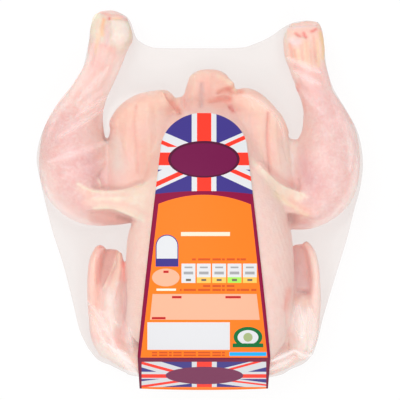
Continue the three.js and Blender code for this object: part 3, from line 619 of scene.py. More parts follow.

# Tints of the skin: red, green and blue as seen, strength, radius, edge, and a drawn line. Without a radius
# the line encloses a patch, with an edge as wide as `edge`. Later ones lie over earlier ones. Besides the
# skin's own colours, some are painted shade, painted highlights and painted sheen of the film, each marked
# where it stands.
SKIN = (0.965, 0.80, 0.76)
CREAM = (1.0, 0.90, 0.83)
PINK = (0.985, 0.765, 0.735)
MAUVE = (0.895, 0.69, 0.70)
ROSE = (0.93, 0.62, 0.56)
CRIMSON = (0.86, 0.36, 0.33)
IVORY = (0.925, 0.86, 0.80)
TINTS = [
    # breast
    ((1.0, 0.855, 0.805), 1.0, 30, 4, [(150, 200), (150, 300), (152, 350)]),
    ((0.975, 0.85, 0.815), 1.0, 30, 4, [(262, 190), (266, 300), (262, 350)]),
    ((1.0, 0.81, 0.75), 0.75, 5, 2, [(131, 226), (128, 256), (127, 296)]),
    ((0.985, 0.81, 0.76), 0.6, 5, 2, [(286, 222), (291, 258), (288, 290)]),
    # belly and vent
    ((1.0, 0.815, 0.735), 0.95, 17, 3, [(128, 116), (146, 106), (166, 98)]),
    ((0.975, 0.775, 0.70), 0.85, 16, 2, [(128, 140), (146, 150), (150, 172)]),
    ((1.0, 0.82, 0.745), 0.95, 15, 3, [(243, 98), (258, 108), (274, 126)]),
    ((1.0, 0.825, 0.77), 0.85, 13, 2, [(262, 130), (268, 160), (276, 178)]),
    ((0.985, 0.79, 0.72), 0.95, 12, 3, [(190, 84), (206, 78), (222, 86)]),
    ((0.95, 0.71, 0.64), 0.8, 7, 2, [(190, 102), (206, 100), (224, 104)]),
    ((0.97, 0.71, 0.64), 0.6, 3.2, 2, [(207, 82), (211, 96)]),
    ((0.94, 0.69, 0.65), 0.55, 2.8, 2, [(184, 98), (188, 108)]),
    # painted highlight on the tail's left ridge
    ((1.0, 0.84, 0.77), 0.6, 2.6, 2, [(194, 80), (192, 98)]),
    # painted shade: a grey-mauve line in the groove down the tail's middle
    ((0.86, 0.69, 0.67), 0.7, 2.6, 2, [(201.5, 84), (201, 106)]),
    ((1.0, 0.86, 0.79), 0.8, 2.4, 2, [(188, 82), (193, 74), (206, 72)]),
    # painted light: a paler stroke along the card's left edge, against the shadow the card casts on the belly
    ((1.0, 0.86, 0.80), 0.8, 5, 2, [(161, 114), (157, 132), (154, 150)]),
    ((1.0, 0.86, 0.79), 0.75, 7, 2, [(266, 102), (276, 112), (286, 126)]),
    ((0.95, 0.66, 0.58), 0.85, 3.4, 2, [(167, 95), (173, 103), (180, 113)]),
    ((1.0, 0.85, 0.78), 0.7, 2.4, 2, [(152, 92), (164, 90), (172, 97)]),
    ((0.95, 0.61, 0.52), 0.9, 3.2, 2, [(219, 92), (229, 90), (241, 92)]),
    ((0.955, 0.64, 0.56), 0.9, 3.0, 2, [(210, 101), (220, 99.5), (230, 99)]),
    # painted highlight on the tail's right ridge
    ((1.0, 0.88, 0.78), 0.8, 2.4, 2, [(219, 76), (228, 82), (236, 90)]),
    (CRIMSON, 0.65, 1.9, 2, [(230, 107), (233, 111)]),
    (ROSE, 0.6, 1.8, 2, [(268.5, 112), (267.5, 135), (268.5, 152), (270, 172)]),
    ((0.95, 0.70, 0.64), 0.45, 2.0, 2, [(136, 106), (134, 128), (137, 147), (138, 172)]),
    ((1.0, 0.85, 0.77), 0.5, 2.4, 2, [(147, 108), (149, 130), (148, 160)]),
    ((1.0, 0.85, 0.77), 0.5, 2.4, 2, [(261, 106), (260, 130), (262, 156)]),
    ((1.0, 0.84, 0.76), 0.5, 2.4, 2, [(276, 124), (277, 148), (281, 168)]),
    # thighs and drumsticks
    ((0.93, 0.765, 0.755), 0.9, 26, 3, [(62, 120), (66, 160), (80, 190)]),
    ((0.945, 0.81, 0.80), 0.9, 26, 3, [(338, 130), (334, 165), (322, 196)]),
    (MAUVE, 0.65, 13, 2, [(86, 160), (94, 176)]),
    (MAUVE, 0.8, 12, 2, [(302, 168), (312, 182)]),
    (MAUVE, 0.4, 8, 2, [(300, 150), (296, 166)]),
    # painted light: a pale greyish patch in the hollow between the left thigh and the belly, against its
    # shade
    ((0.925, 0.85, 0.81), 0.9, 9, 2, [(115, 144), (117, 166)]),
    # painted sheen: pale strokes along both thighs' lower edges, where the film turns down over the shaded
    # slopes
    ((1.0, 0.90, 0.88), 0.85, 9, 2, [(42, 172), (50, 196), (66, 214), (88, 226)]),
    ((1.0, 0.90, 0.88), 0.8, 8, 2, [(358, 128), (361, 164), (354, 196), (337, 219), (312, 229)]),
    # painted light: a pale patch in the hollow between the right thigh and the belly, lightening its shade
    ((0.95, 0.89, 0.85), 0.9, 10, 2, [(289, 144), (288, 168)]),
    ((0.96, 0.82, 0.79), 0.9, 15, 3, [(106, 52), (96, 80), (80, 104)]),
    ((0.96, 0.795, 0.785), 0.9, 15, 3, [(309, 64), (318, 92), (328, 112)]),
    ((1.0, 0.78, 0.755), 0.5, 6, 2, [(98, 60), (88, 84)]),
    # painted light: pale strokes along the left drumstick's inner and outer edges, lightening their shaded
    # slopes as the film's pale sheen there
    ((1.0, 0.90, 0.87), 0.85, 6.5, 2, [(125, 48), (118, 68), (111, 88), (106, 108)]),
    ((1.0, 0.90, 0.87), 0.6, 5, 2, [(88, 56), (80, 78), (66, 98), (52, 118)]),
    ((0.93, 0.77, 0.72), 0.5, 1.6, 2, [(127, 50), (121, 66), (114, 84)]),
    ((0.96, 0.72, 0.67), 0.7, 2.4, 2, [(298, 84), (303, 98), (303, 112)]),
    (CRIMSON, 0.55, 1.5, 2, [(296, 88), (298, 91)]),
    # painted shade: a dark line in the narrow pit between the left leg and the belly's lump
    ((0.86, 0.72, 0.66), 0.8, 2.6, 2, [(105, 134), (107, 142)]),
    # painted highlight: a small pale glint on the left thigh
    ((0.99, 0.93, 0.85), 0.8, 1.2, 2, [(98, 179), (101, 186)]),
    # hocks
    (IVORY, 0.95, 0, 4.5, [
        (85, 44), (87, 28), (91, 16), (99, 7), (108, 6), (120, 8), (134, 16), (137, 30), (134, 42),
        (124, 54), (106, 50),
    ]),
    ((0.945, 0.93, 0.83), 0.8, 3.6, 2, [(97, 15), (93, 22), (92, 31)]),
    (PINK, 0.85, 4, 2, [(95, 46), (104, 46), (112, 50)]),
    ((0.96, 0.82, 0.83), 0.7, 2.4, 2, [(107, 26), (107, 42)]),
    ((0.96, 0.92, 0.885), 0.9, 0, 2, [
        (111, 21), (119, 20), (128, 24), (130, 34), (126, 43), (118, 45), (112, 40),
    ]),
    ((0.93, 0.885, 0.76), 0.8, 1.8, 2, [(129, 21), (131, 28), (130, 38)]),
    ((0.985, 0.78, 0.60), 0.9, 2.0, 2, [(104, 20), (102, 28), (102, 35)]),
    ((0.985, 0.85, 0.73), 0.8, 2.0, 2, [(98, 36), (96, 52)]),
    ((0.975, 0.87, 0.85), 0.9, 2.6, 2, [(100, 11.5), (108, 11.4), (117, 13), (127, 18)]),
    ((0.935, 0.72, 0.68), 0.85, 1.5, 2, [(101, 11.8), (105, 13.6), (110, 15.6)]),
    ((0.93, 0.72, 0.69), 0.7, 1.2, 2, [(111, 15.4), (119, 15.8), (127, 20)]),
    ((0.98, 0.80, 0.66), 0.8, 1.4, 2, [(110, 18.6), (120, 18.4)]),
    ((0.85, 0.30, 0.27), 0.95, 1.3, 2, [(109.4, 18.6)]),
    ((0.99, 0.835, 0.775), 0.95, 0, 3, [
        (280, 40), (282, 22), (300, 16), (322, 16), (328, 40), (327, 66), (312, 70), (300, 64), (287, 58),
    ]),
    ((0.97, 0.88, 0.88), 0.9, 2.2, 2, [(287, 28), (302, 26), (315, 25.5)]),
    ((0.95, 0.88, 0.89), 0.9, 4.0, 2, [(291, 42), (298, 42)]),
    ((0.965, 0.90, 0.85), 0.9, 2.4, 2, [(285.5, 30), (286, 42)]),
    ((0.985, 0.88, 0.83), 0.8, 3.0, 2, [(286, 46), (290, 62), (296, 76)]),
    ((0.995, 0.83, 0.60), 0.9, 2.0, 2, [(320.5, 33), (323, 44), (323, 58)]),
    ((0.99, 0.87, 0.74), 0.8, 3.2, 2, [(306, 44), (307, 60)]),
    ((0.97, 0.72, 0.63), 0.75, 1.5, 2, [(289.5, 44), (292, 58)]),
    ((0.97, 0.72, 0.63), 0.7, 1.5, 2, [(301, 46), (303, 62)]),
    ((0.97, 0.72, 0.63), 0.7, 1.5, 2, [(313, 36), (316, 62)]),
    ((0.93, 0.45, 0.41), 0.9, 1.4, 2, [(303.5, 33), (306, 37)]),
    ((0.95, 0.55, 0.50), 0.8, 1.6, 2, [(296, 33.5), (300, 36)]),
    ((0.94, 0.50, 0.46), 0.8, 1.4, 2, [(311.5, 31.5), (316, 29)]),
    ((0.975, 0.79, 0.69), 0.8, 1.2, 2, [(285, 25.6), (294, 22.6), (304, 21.4), (318, 20.6)]),
    ((0.99, 0.74, 0.62), 0.7, 1.4, 2, [(294, 50), (297, 62)]),
    ((1.0, 0.88, 0.72), 0.7, 1.2, 2, [(298, 50), (300, 64)]),
    ((0.98, 0.76, 0.66), 0.7, 1.2, 2, [(306, 40), (308, 66)]),
    ((1.0, 0.86, 0.70), 0.7, 1.3, 2, [(317.5, 40), (319, 66)]),
    ((0.98, 0.74, 0.66), 0.6, 1.4, 2, [(310, 50), (312, 70)]),
    ((0.965, 0.77, 0.74), 0.8, 4, 2, [(294, 66), (306, 70), (318, 76)]),
    # skin webs
    (CREAM, 1.0, 0, 1.8, [
        (100, 191), (117, 191), (133, 187.6), (147, 181), (158, 176), (154, 226), (144, 222),
        (136, 217), (125, 213.6), (110, 209.8), (97, 209.4),
    ]),
    ((1.0, 0.86, 0.80), 0.8, 7, 2, [(153, 184), (152, 204), (150, 222)]),
    (CREAM, 0.5, 5, 2, [(80, 188), (90, 194)]),
    (CREAM, 0.8, 5, 2, [(90, 195), (102, 199)]),
    (CREAM, 0.6, 4, 2, [(88, 203), (100, 204)]),
    ((1.0, 0.82, 0.77), 0.55, 2.4, 2, [(84, 203), (108, 203), (130, 206), (146, 214)]),
    ((1.0, 0.82, 0.78), 0.5, 2.0, 2, [(88, 196), (108, 195.5), (128, 194)]),
    # painted highlights: a pale line along the left web's upper edge, and in the next stroke along its lower
    # edge
    ((1.0, 0.935, 0.86), 0.9, 1.3, 2, [
        (78, 184), (90, 190.4), (101, 192), (117, 192), (133, 188.6), (148, 183),
    ]),
    ((1.0, 0.935, 0.86), 0.9, 1.3, 2, [(94, 208), (110, 208), (126, 212), (144, 221)]),
    ((1.0, 0.93, 0.86), 0.6, 1.2, 2, [(92, 199), (116, 199), (144, 196)]),
    # painted shade: a darker line in the hollow just above the left web's upper edge
    ((0.86, 0.66, 0.61), 0.55, 2.4, 2, [(94, 187), (110, 188), (126, 187), (142, 181)]),
    # painted shade: the patch under the left web's lower edge
    ((0.93, 0.74, 0.705), 0.9, 0, 2.4, [
        (88, 212), (110, 211.6), (125, 216), (134, 220), (129, 229), (112, 229), (92, 226),
    ]),
    # painted sheen: a paler rim along the left thigh's lower edge, below that shade
    ((0.985, 0.84, 0.81), 0.7, 2.2, 2, [(88, 225), (104, 226.5), (122, 226)]),
    # painted shade: the darkest part under the left web, near the breast
    ((0.84, 0.63, 0.59), 0.8, 2.0, 2, [(118, 218), (129, 221), (131, 225)]),
    (CREAM, 1.0, 0, 2.2, [
        (252, 158), (258, 165), (268, 174.5), (280, 184.4), (291, 190), (303, 194), (308, 197), (300, 202),
        (292, 204),
        (283, 206), (276, 199), (268, 186), (260, 174), (253, 164),
    ]),
    # painted highlight: a pale line along the right web's upper edge
    ((1.0, 0.935, 0.86), 0.9, 1.3, 2, [(262, 170), (270, 177), (281, 186), (292, 191), (304, 195)]),
    ((1.0, 0.88, 0.77), 0.9, 3.2, 2, [(276, 194), (288, 202), (298, 210), (306, 215)]),
    ((0.985, 0.76, 0.69), 0.7, 2.6, 2, [(290, 200), (300, 206), (309, 211)]),
    # painted shade: a darker line in the hollow just above the right web's edge
    ((0.90, 0.70, 0.67), 0.6, 2.2, 2, [(264, 163), (274, 172), (286, 181), (300, 188)]),
    # painted shade in the pit under the right web: a soft darker stroke, then the pit's own patch
    ((0.89, 0.70, 0.67), 0.8, 5, 2, [(292, 221), (308, 224)]),
    ((0.88, 0.68, 0.64), 0.85, 0, 2.2, [(287, 213), (294, 213.5), (300, 218), (298, 225), (290, 225)]),
    # wings
    ((0.985, 0.79, 0.72), 0.9, 7, 3, [(96, 252), (92, 280), (94, 320)]),
    # painted shade: the hollow between the left wing's two joints, and in the stroke after it a darker line
    # under the forearm's edge
    ((0.905, 0.70, 0.655), 0.95, 0, 1.6, [
        (100, 245), (109, 246), (117, 251), (114, 264), (109, 277), (102, 289), (98, 280), (98, 262),
    ]),
    ((0.93, 0.66, 0.615), 0.8, 2.2, 2, [(101, 246), (99.5, 262), (99, 282)]),
    ((1.0, 0.84, 0.76), 0.95, 3.4, 3, [(119.6, 253), (118, 268), (112, 288)]),
    ((1.0, 0.90, 0.83), 0.9, 1.1, 2, [(117.6, 253), (115, 263), (110, 277), (104, 289)]),
    ((0.985, 0.93, 0.905), 0.95, 9, 2, [(112, 296), (112, 328)]),
    ((1.0, 0.92, 0.89), 0.9, 3.4, 2, [(118, 284), (119.5, 304), (119, 326)]),
    ((0.97, 0.585, 0.53), 0.85, 2.2, 2, [(123.5, 262), (124.5, 272), (125, 281)]),
    # painted shade: the crease between the left wing and the breast, in this stroke and the next
    ((0.82, 0.55, 0.55), 0.65, 1.4, 2, [(125, 282), (125, 300), (124.4, 318)]),
    ((0.86, 0.66, 0.66), 0.6, 1.8, 2, [(124, 318), (124, 336)]),
    ((0.99, 0.865, 0.84), 0.8, 9, 2, [(98, 320), (100, 342)]),
    ((1.0, 0.82, 0.79), 0.95, 5.5, 3, [(119, 332), (117, 350)]),
    ((1.0, 0.88, 0.85), 0.8, 4, 2, [(129, 318), (130, 350)]),
    ((0.99, 0.935, 0.905), 0.9, 10, 2, [(100, 350), (120, 364)]),
    ((1.0, 0.83, 0.78), 0.7, 3.0, 2, [(92, 318), (98, 338)]),
    ((1.0, 0.88, 0.84), 0.95, 6.5, 3, [(314, 254), (316, 284), (315, 320), (311, 350)]),
    # painted shade: the hollow between the right wing's two joints
    ((0.925, 0.76, 0.745), 0.95, 0, 1.6, [
        (294, 246), (305, 241), (307, 251), (309, 267), (311, 280), (309, 295), (302, 297), (295, 291),
    ]),
    ((0.975, 0.78, 0.73), 0.8, 2.6, 2, [(297, 246), (304, 243), (306, 260), (308, 278)]),
    # painted shade: a darker spot in the right wing's hollow
    ((0.90, 0.70, 0.66), 0.7, 3.0, 2, [(300, 250), (300, 262)]),
    ((1.0, 0.82, 0.75), 0.9, 5, 2, [(296, 299), (306, 301)]),
    ((0.98, 0.68, 0.62), 0.9, 3.6, 2, [(289, 291), (286.6, 308)]),
    ((1.0, 0.86, 0.82), 0.85, 3.0, 2, [(297, 294), (304, 297.5)]),
    # painted shade: the crease between the right wing and the breast
    ((0.96, 0.75, 0.70), 0.7, 1.8, 2, [(288, 304), (288, 320), (288.6, 350)]),
    ((1.0, 0.90, 0.86), 0.7, 4, 2, [(293, 318), (293, 350)]),
    ((0.99, 0.94, 0.92), 0.95, 9, 2, [(302, 314), (304, 346)]),
    ((0.99, 0.91, 0.87), 0.8, 6, 2, [(302, 358), (284, 366)]),
]


def ridged(places):
    """The breast's rows of feather pits: the product of two sine waves in slanting directions, near its
    right side and half as strong near its left side."""
    x, y = places[:, 0], places[:, 1]
    first, second = [np.sin(2 * np.pi * (a * x + b * y) / length) for a, b, length in RIDGE_WAVES]
    near = sum(strength * stroke(places, line, radius, 2) for line, radius, strength in RIDGE_PLACES)
    return first * second * near


def tinted(places, facing):
    """The skin's colour at each place: the plain skin, each tint over the ones before it as far as its
    brush reaches (painted shade in creases and hollows and painted highlights on ridges among them), and the
    ridges of the feather pits paler and darker by turns."""
    tint = np.tile(SKIN, (len(places), 1))
    for colour, strength, radius, edge, line in TINTS:
        share = (strength * facing * painted(places, radius, edge, line))[:, None]
        tint = tint * (1 - share) + np.array(colour) * share
    rows = 1 + RIDGE_DEPTH * (ridged(places) * facing)[:, None] * RIDGE_TINT
    return np.clip(tint * rows, 0, 1)


def bird_piece():
    """The bird: fused limbs, kept under the card, with folds pushed in along the normals and tints."""
    bird = fused_limbs()
    points, normals = points_of(bird), normals_of(bird)
    places = drawn(points)
    facing = np.clip(normals[:, 2] * UP_FACING[0] + UP_FACING[1], 0, 1)
    shift = sum(height * stroke(places, line, radius, 2, taper=True) for line, radius, height in FOLDS)
    shift = shift + RIDGE_HEIGHT * ridged(places)
    points += normals * (shift * facing)[:, None]
    under = ceiling(points[:, 0], points[:, 1], CARD_GAP + SKIN_GAP + SKIN_CARD_GAP)
    points[:, 2] = np.clip(points[:, 2], BACK_HEIGHT, under)
    set_points(bird, points)
    colours = light_of(tinted(places, facing))
    set_attribute(bird, "tint", np.column_stack([colours, np.ones(len(colours))]))
    dotted = sum(stroke(places, thigh, THIGH_WIDTH, THIGH_EDGE) for thigh in THIGHS)
    set_attribute(bird, "dotted", np.clip(dotted * facing, 0, 1))
    return bird


# The film

def crowded(share):
    """Shares of an edge that lie closer together near both ends."""
    return share - EDGE_CROWDING * np.sin(2 * np.pi * share)


def film_grid():
    """The points between the bag's four edges: each is the mean of the straight lines between opposite
    edges, less the corners' own blend."""
    u, v = crowded(np.linspace(0, 1, FILM_COLUMNS + 1)), crowded(np.linspace(0, 1, FILM_ROWS + 1))
    left, right = evenly(LEFT_EDGE, v)[:, None], evenly(RIGHT_EDGE, v)[:, None]
    below, above = evenly(BOTTOM_EDGE, u)[None], evenly(TOP_EDGE, u)[None]
    s, t = u[None, :, None], v[:, None, None]
    corners = (
        (1 - s) * (1 - t) * below[:, :1] + s * (1 - t) * below[:, -1:]
        + (1 - s) * t * above[:, :1] + s * t * above[:, -1:]
    )
    return (1 - s) * left + s * right + (1 - t) * below + t * above - corners


def reached(points, grid, highest):
    """The bird's highest or lowest points over the film's grid, from a raster of its own points. A slope
    runs down from each point, so that the film leaves the bird's sides smoothly."""
    sign = 1 if highest else -1
    low = np.array(RASTER_START)
    size = (np.array(RASTER_SPAN) / RASTER).astype(int)
    cell = ((points[:, :2] - low) / RASTER).astype(int)
    raster = np.full(size, NOTHING)
    np.maximum.at(raster, (cell[:, 0], cell[:, 1]), sign * points[:, 2])
    near = [(i, j) for i in (-1, 0, 1) for j in (-1, 0, 1)]
    for _ in range(SLOPE_CELLS):
        lowered = [
            np.roll(raster, way, axis=(0, 1)) - SIDE_SLOPE * RASTER * math.hypot(*way)
            for way in near
        ]
        raster = np.max(lowered, axis=0)
    raster = np.mean([np.roll(raster, way, axis=(0, 1)) for way in near], axis=0)
    at = (grid[..., :2] - low) / RASTER - 0.5
    cell = at.astype(int)
    i, j = cell[..., 0], cell[..., 1]
    x, y = (at - cell)[..., 0], (at - cell)[..., 1]
    lower = raster[i, j] * (1 - x) + raster[i + 1, j] * x
    upper = raster[i, j + 1] * (1 - x) + raster[i + 1, j + 1] * x
    return sign * (lower * (1 - y) + upper * y)


def relax(heights, weights, dip, limit, rounds):
    """Stretches a film: each inner height becomes the weighted mean of its four neighbours plus the dip that
    the vacuum gives it, held to `limit`, again and again."""
    left, right, below, above = weights
    for _ in range(rounds):
        inner = (
            left * heights[1:-1, :-2] + right * heights[1:-1, 2:] + below * heights[:-2, 1:-1]
            + above * heights[2:, 1:-1] + dip
        )
        heights[1:-1, 1:-1] = limit(inner)
    return heights


def evened(heights, limit):
    """Heights moved half way to the mean of their four neighbours, held to `limit`, again and again."""
    for _ in range(EVENING):
        around = heights[:-2, 1:-1] + heights[2:, 1:-1] + heights[1:-1, :-2] + heights[1:-1, 2:]
        heights[1:-1, 1:-1] = limit((heights[1:-1, 1:-1] + around / 4) / 2)
    return heights


def film_heights(grid, start, way, limit_at):
    """The stretched film over the grid, found on a coarse grid first and then on the fine one. The vacuum
    moves it `way`, down or up, by a quarter of the square of the points' distance over the curve's radius."""
    heights = None
    for step, rounds in FILM_ROUNDS:
        rows, columns = np.arange(0, FILM_ROWS + 1, step), np.arange(0, FILM_COLUMNS + 1, step)
        part = grid[np.ix_(rows, columns)]
        edge = part[..., 2] + start
        if heights is None:
            heights = edge.copy()
        else:
            fine_rows = np.array([np.interp(columns, old_columns, row) for row in heights])
            heights = np.array([np.interp(rows, old_rows, fine_rows[:, k]) for k in range(len(columns))]).T
            heights[0], heights[-1] = edge[0], edge[-1]
            heights[:, 0], heights[:, -1] = edge[:, 0], edge[:, -1]
        old_rows, old_columns = rows, columns
        limit = limit_at(np.ix_(rows, columns))
        flat = part[..., :2]
        neighbours = (flat[1:-1, :-2], flat[1:-1, 2:], flat[:-2, 1:-1], flat[2:, 1:-1])
        gap = [np.linalg.norm(flat[1:-1, 1:-1] - other, axis=-1) for other in neighbours]
        weights = np.array([1 / g for g in gap])
        weights /= weights.sum(axis=0)
        dip = way * VACUUM * np.square(gap).mean(axis=0) / 4
        heights[1:-1, 1:-1] = limit(heights[1:-1, 1:-1])
        heights = relax(heights, weights, dip, limit, rounds)
    return heights


# Pleats of the film: a drawn line, its half width in squares, its height in millimetres, and how white it is;
# the white is the pleat's own milkiness together with a painted highlight along it
PLEATS = [
    ([(58, 137), (80, 124), (103, 109)], 3.8, 0.05, 0.13),
    ([(66, 134), (84, 121), (101, 105)], 2.8, 0.05, 0.10),
    ([(78, 100), (93, 84), (108, 68)], 3.6, 0.05, 0.10),
    ([(76, 116), (92, 106), (108, 96)], 3.2, 0.05, 0.13),
    ([(80, 108), (94, 98), (104, 88)], 3.4, 0.05, 0.09),
    ([(70, 96), (80, 84), (92, 70)], 4.4, 0.05, 0.07),
    ([(48, 162), (78, 152), (108, 142)], 4.4, 0.05, 0.10),
    ([(60, 178), (84, 170), (104, 160)], 5.0, 0.0, 0.06),
    ([(288, 58), (304, 65), (321, 73)], 3.2, 0.08, 0.20),
    ([(293, 70), (306, 78), (320, 84)], 3.6, 0.05, 0.14),
    ([(300, 90), (310, 100), (322, 112)], 4.0, 0.05, 0.08),
    ([(344, 122), (351, 150), (350, 172)], 3.6, 0.05, 0.09),
    ([(336, 110), (346, 134)], 3.4, 0.05, 0.08),
    ([(88, 302), (100, 318), (112, 340)], 3.0, 0.08, 0.18),
    ([(90, 314), (98, 330), (106, 346)], 3.0, 0.05, 0.12),
    ([(96, 308), (108, 316), (120, 326)], 3.4, 0.05, 0.08),
    ([(108, 344), (116, 351), (126, 354)], 2.4, 0.10, 0.50),
    ([(118, 350), (124, 358), (132, 364)], 3.6, 0.10, 0.55),
    ([(124, 362), (131, 368), (137, 373)], 3.4, 0.08, 0.45),
    ([(112, 338), (114, 348), (120, 355)], 2.6, 0.05, 0.30),
    ([(272, 361), (284, 356), (295, 350.5)], 2.4, 0.10, 0.55),
    ([(271, 369), (283, 363), (294, 357)], 2.8, 0.05, 0.32),
    ([(295, 350.5), (303, 355), (311, 355)], 2.4, 0.10, 0.50),
    ([(309, 308), (313, 328), (311, 348)], 4.0, 0.05, 0.26),
    ([(299, 316), (302, 336)], 4.0, 0.05, 0.20),
    # painted sheen of the film: white strokes with no height along the bird's borders, where the film leaves
    # it, and broad ones over the wings
    ([(104, 247), (96, 257), (91.5, 272), (91, 296), (92, 318), (96, 342)], 4.4, 0.0, 0.06),
    ([(309, 250), (315, 266), (316.5, 285), (316, 312), (314, 334), (308, 352)], 4.2, 0.0, 0.06),
    ([(45, 186), (52, 200), (65, 213), (83, 222), (102, 225)], 4.6, 0.0, 0.08),
    ([(357, 158), (354, 182), (346, 200), (333, 215), (315, 225), (298, 226)], 4.6, 0.0, 0.08),
    ([(107, 130), (110, 115), (120, 103), (136, 95), (154, 93)], 4.2, 0.0, 0.07),
    ([(240, 95), (252, 98), (266, 107), (279, 121), (284, 138)], 4.2, 0.0, 0.11),
    ([(130, 46), (121, 62), (109, 84), (103, 104), (100, 128)], 4.2, 0.0, 0.07),
    ([(95, 38), (88, 64), (73, 94), (58, 114), (47, 138)], 3.2, 0.0, 0.07),
    ([(321, 46), (323, 69), (331, 92), (344, 117), (355, 140)], 3.2, 0.0, 0.07),
    ([(108, 286), (111, 306), (113, 336)], 8.0, 0.0, 0.03),
    ([(298, 306), (300, 336)], 8.0, 0.0, 0.11),
    ([(129, 328), (132, 352)], 5.0, 0.0, 0.09),
]


def pleated(places):
    """How far the pleats lift the film at each place, and how white they make it there: their milkiness with
    painted highlights, and painted sheen.
    """
    rise, white = np.zeros(len(places)), np.zeros(len(places))
    for line, radius, height, whiteness in PLEATS:
        share = stroke(places, line, radius, 2, taper=True)
        rise += height * share
        white = np.maximum(white, whiteness * share)
    return rise, white


def film_piece(bird):
    """The bag's film: the upper and the lower stretched film over one grid, with small pleats. The bird and
    the seam hold each of them off from inside, and the card and the floor from outside."""
    grid = film_grid()
    points = points_of(bird)
    seam_top, seam_bottom = grid[..., 2] + SEAM / 2, grid[..., 2] - SEAM / 2
    cover = ceiling(grid[..., 0], grid[..., 1])
    inner = (slice(1, -1), slice(1, -1))
    top = np.minimum(np.maximum(reached(points, grid, True) + SKIN_GAP, seam_top), cover)
    upper = film_heights(grid, SEAM / 2, -1, lambda k: lambda z: np.clip(z, top[k][inner], cover[k][inner]))
    least = np.maximum(top - SLACK, seam_top)
    upper = evened(upper, lambda z: np.clip(z, least[inner], cover[inner]))
    bottom = np.minimum(reached(points, grid, False) - SKIN_GAP, seam_bottom)
    bottom = np.maximum(np.minimum(bottom, upper - SEAM), 0)
    lower = film_heights(grid, -SEAM / 2, 1, lambda k: lambda z: np.clip(z, 0, bottom[k][inner]))
    upper_points = np.dstack([grid[..., :2], upper]).reshape(-1, 3)
    lower_points = np.dstack([grid[..., :2], lower]).reshape(-1, 3)
    rise, white = pleated(drawn(upper_points))
    lifted = np.zeros(cover.shape)
    lifted[inner] = np.isinf(cover[inner])
    upper_points[:, 2] += rise * lifted.ravel()
    film = object_of("film", np.vstack([upper_points, lower_points]), slab_faces(*cover.shape))
    set_attribute(film, "white", np.concatenate([white, np.zeros(len(white))]))
    return film


# Materials

def new_material(name):
    """An empty node material with its output: returns the material, its tree and a maker of nodes."""
    material = bpy.data.materials.new(name)
    material.use_nodes = True
    tree = material.node_tree
    tree.nodes.clear()

    def node(kind, *values, **settings):
        """Adds a node; its inputs in order are numbers, colours or other nodes' outputs, None to skip."""
        made = tree.nodes.new(kind)
        for key, value in settings.items():
            setattr(made, key, value)
        for socket, value in zip(made.inputs, values):
            if isinstance(value, bpy.types.NodeSocket):
                tree.links.new(value, socket)
            elif value is not None:
                socket.default_value = value
        return made

    return material, tree, node


def principled(tree, node, **values):
    """A Principled shader whose named inputs are numbers, colours or other nodes' outputs."""
    shader = node("ShaderNodeBsdfPrincipled")
    for name, value in values.items():
        socket = shader.inputs[name.replace("_", " ")]
        if isinstance(value, bpy.types.NodeSocket):
            tree.links.new(value, socket)
        else:
            socket.default_value = value
    return shader


def noise(node, where, scale, detail, roughness=0.5):
    """A cloudy pattern of the given fineness."""
    made = node("ShaderNodeTexNoise", where)
    made.inputs["Scale"].default_value = scale
    made.inputs["Detail"].default_value = detail
    made.inputs["Roughness"].default_value = roughness
    return made.outputs["Fac"]


def mixed_colour(tree, node, share, first, second, blend="MIX"):
    """Two colours blended by a share; each of the three is a number or colour, or another node's output."""
    mix = node("ShaderNodeMix", data_type="RGBA", blend_type=blend)
    for socket, value in ((0, share), (6, first), (7, second)):
        if isinstance(value, bpy.types.NodeSocket):
            tree.links.new(value, mix.inputs[socket])
        else:
            mix.inputs[socket].default_value = value
    return mix.outputs[2]


# Fineness, detail and roughness of the clouds of colour in the skin, and of the film's faint ripples
MOTTLE = (380, 3, 0.65)
BLOTCH = (130, 4)
RIPPLE = (45, 3)
PIT_FINENESS = 330

MOTTLE_DARK = (0.98, 0.87, 0.86, 1)
MOTTLE_PALE = (1.02, 1.07, 1.07, 1)
PIT_COLOUR = (1.0, 0.91, 0.89)
CLEAR_FILM = (0.978, 0.96, 0.953, 1)
FILM_GREY = (0.66, 0.61, 0.585, 1)
# the white of the film's strokes: milky pleats with painted highlights, and painted sheen
FILM_MILK_AND_HIGHLIGHT = (0.96, 0.925, 0.91, 1)
CARD_BACK = (0.93, 0.92, 0.90)


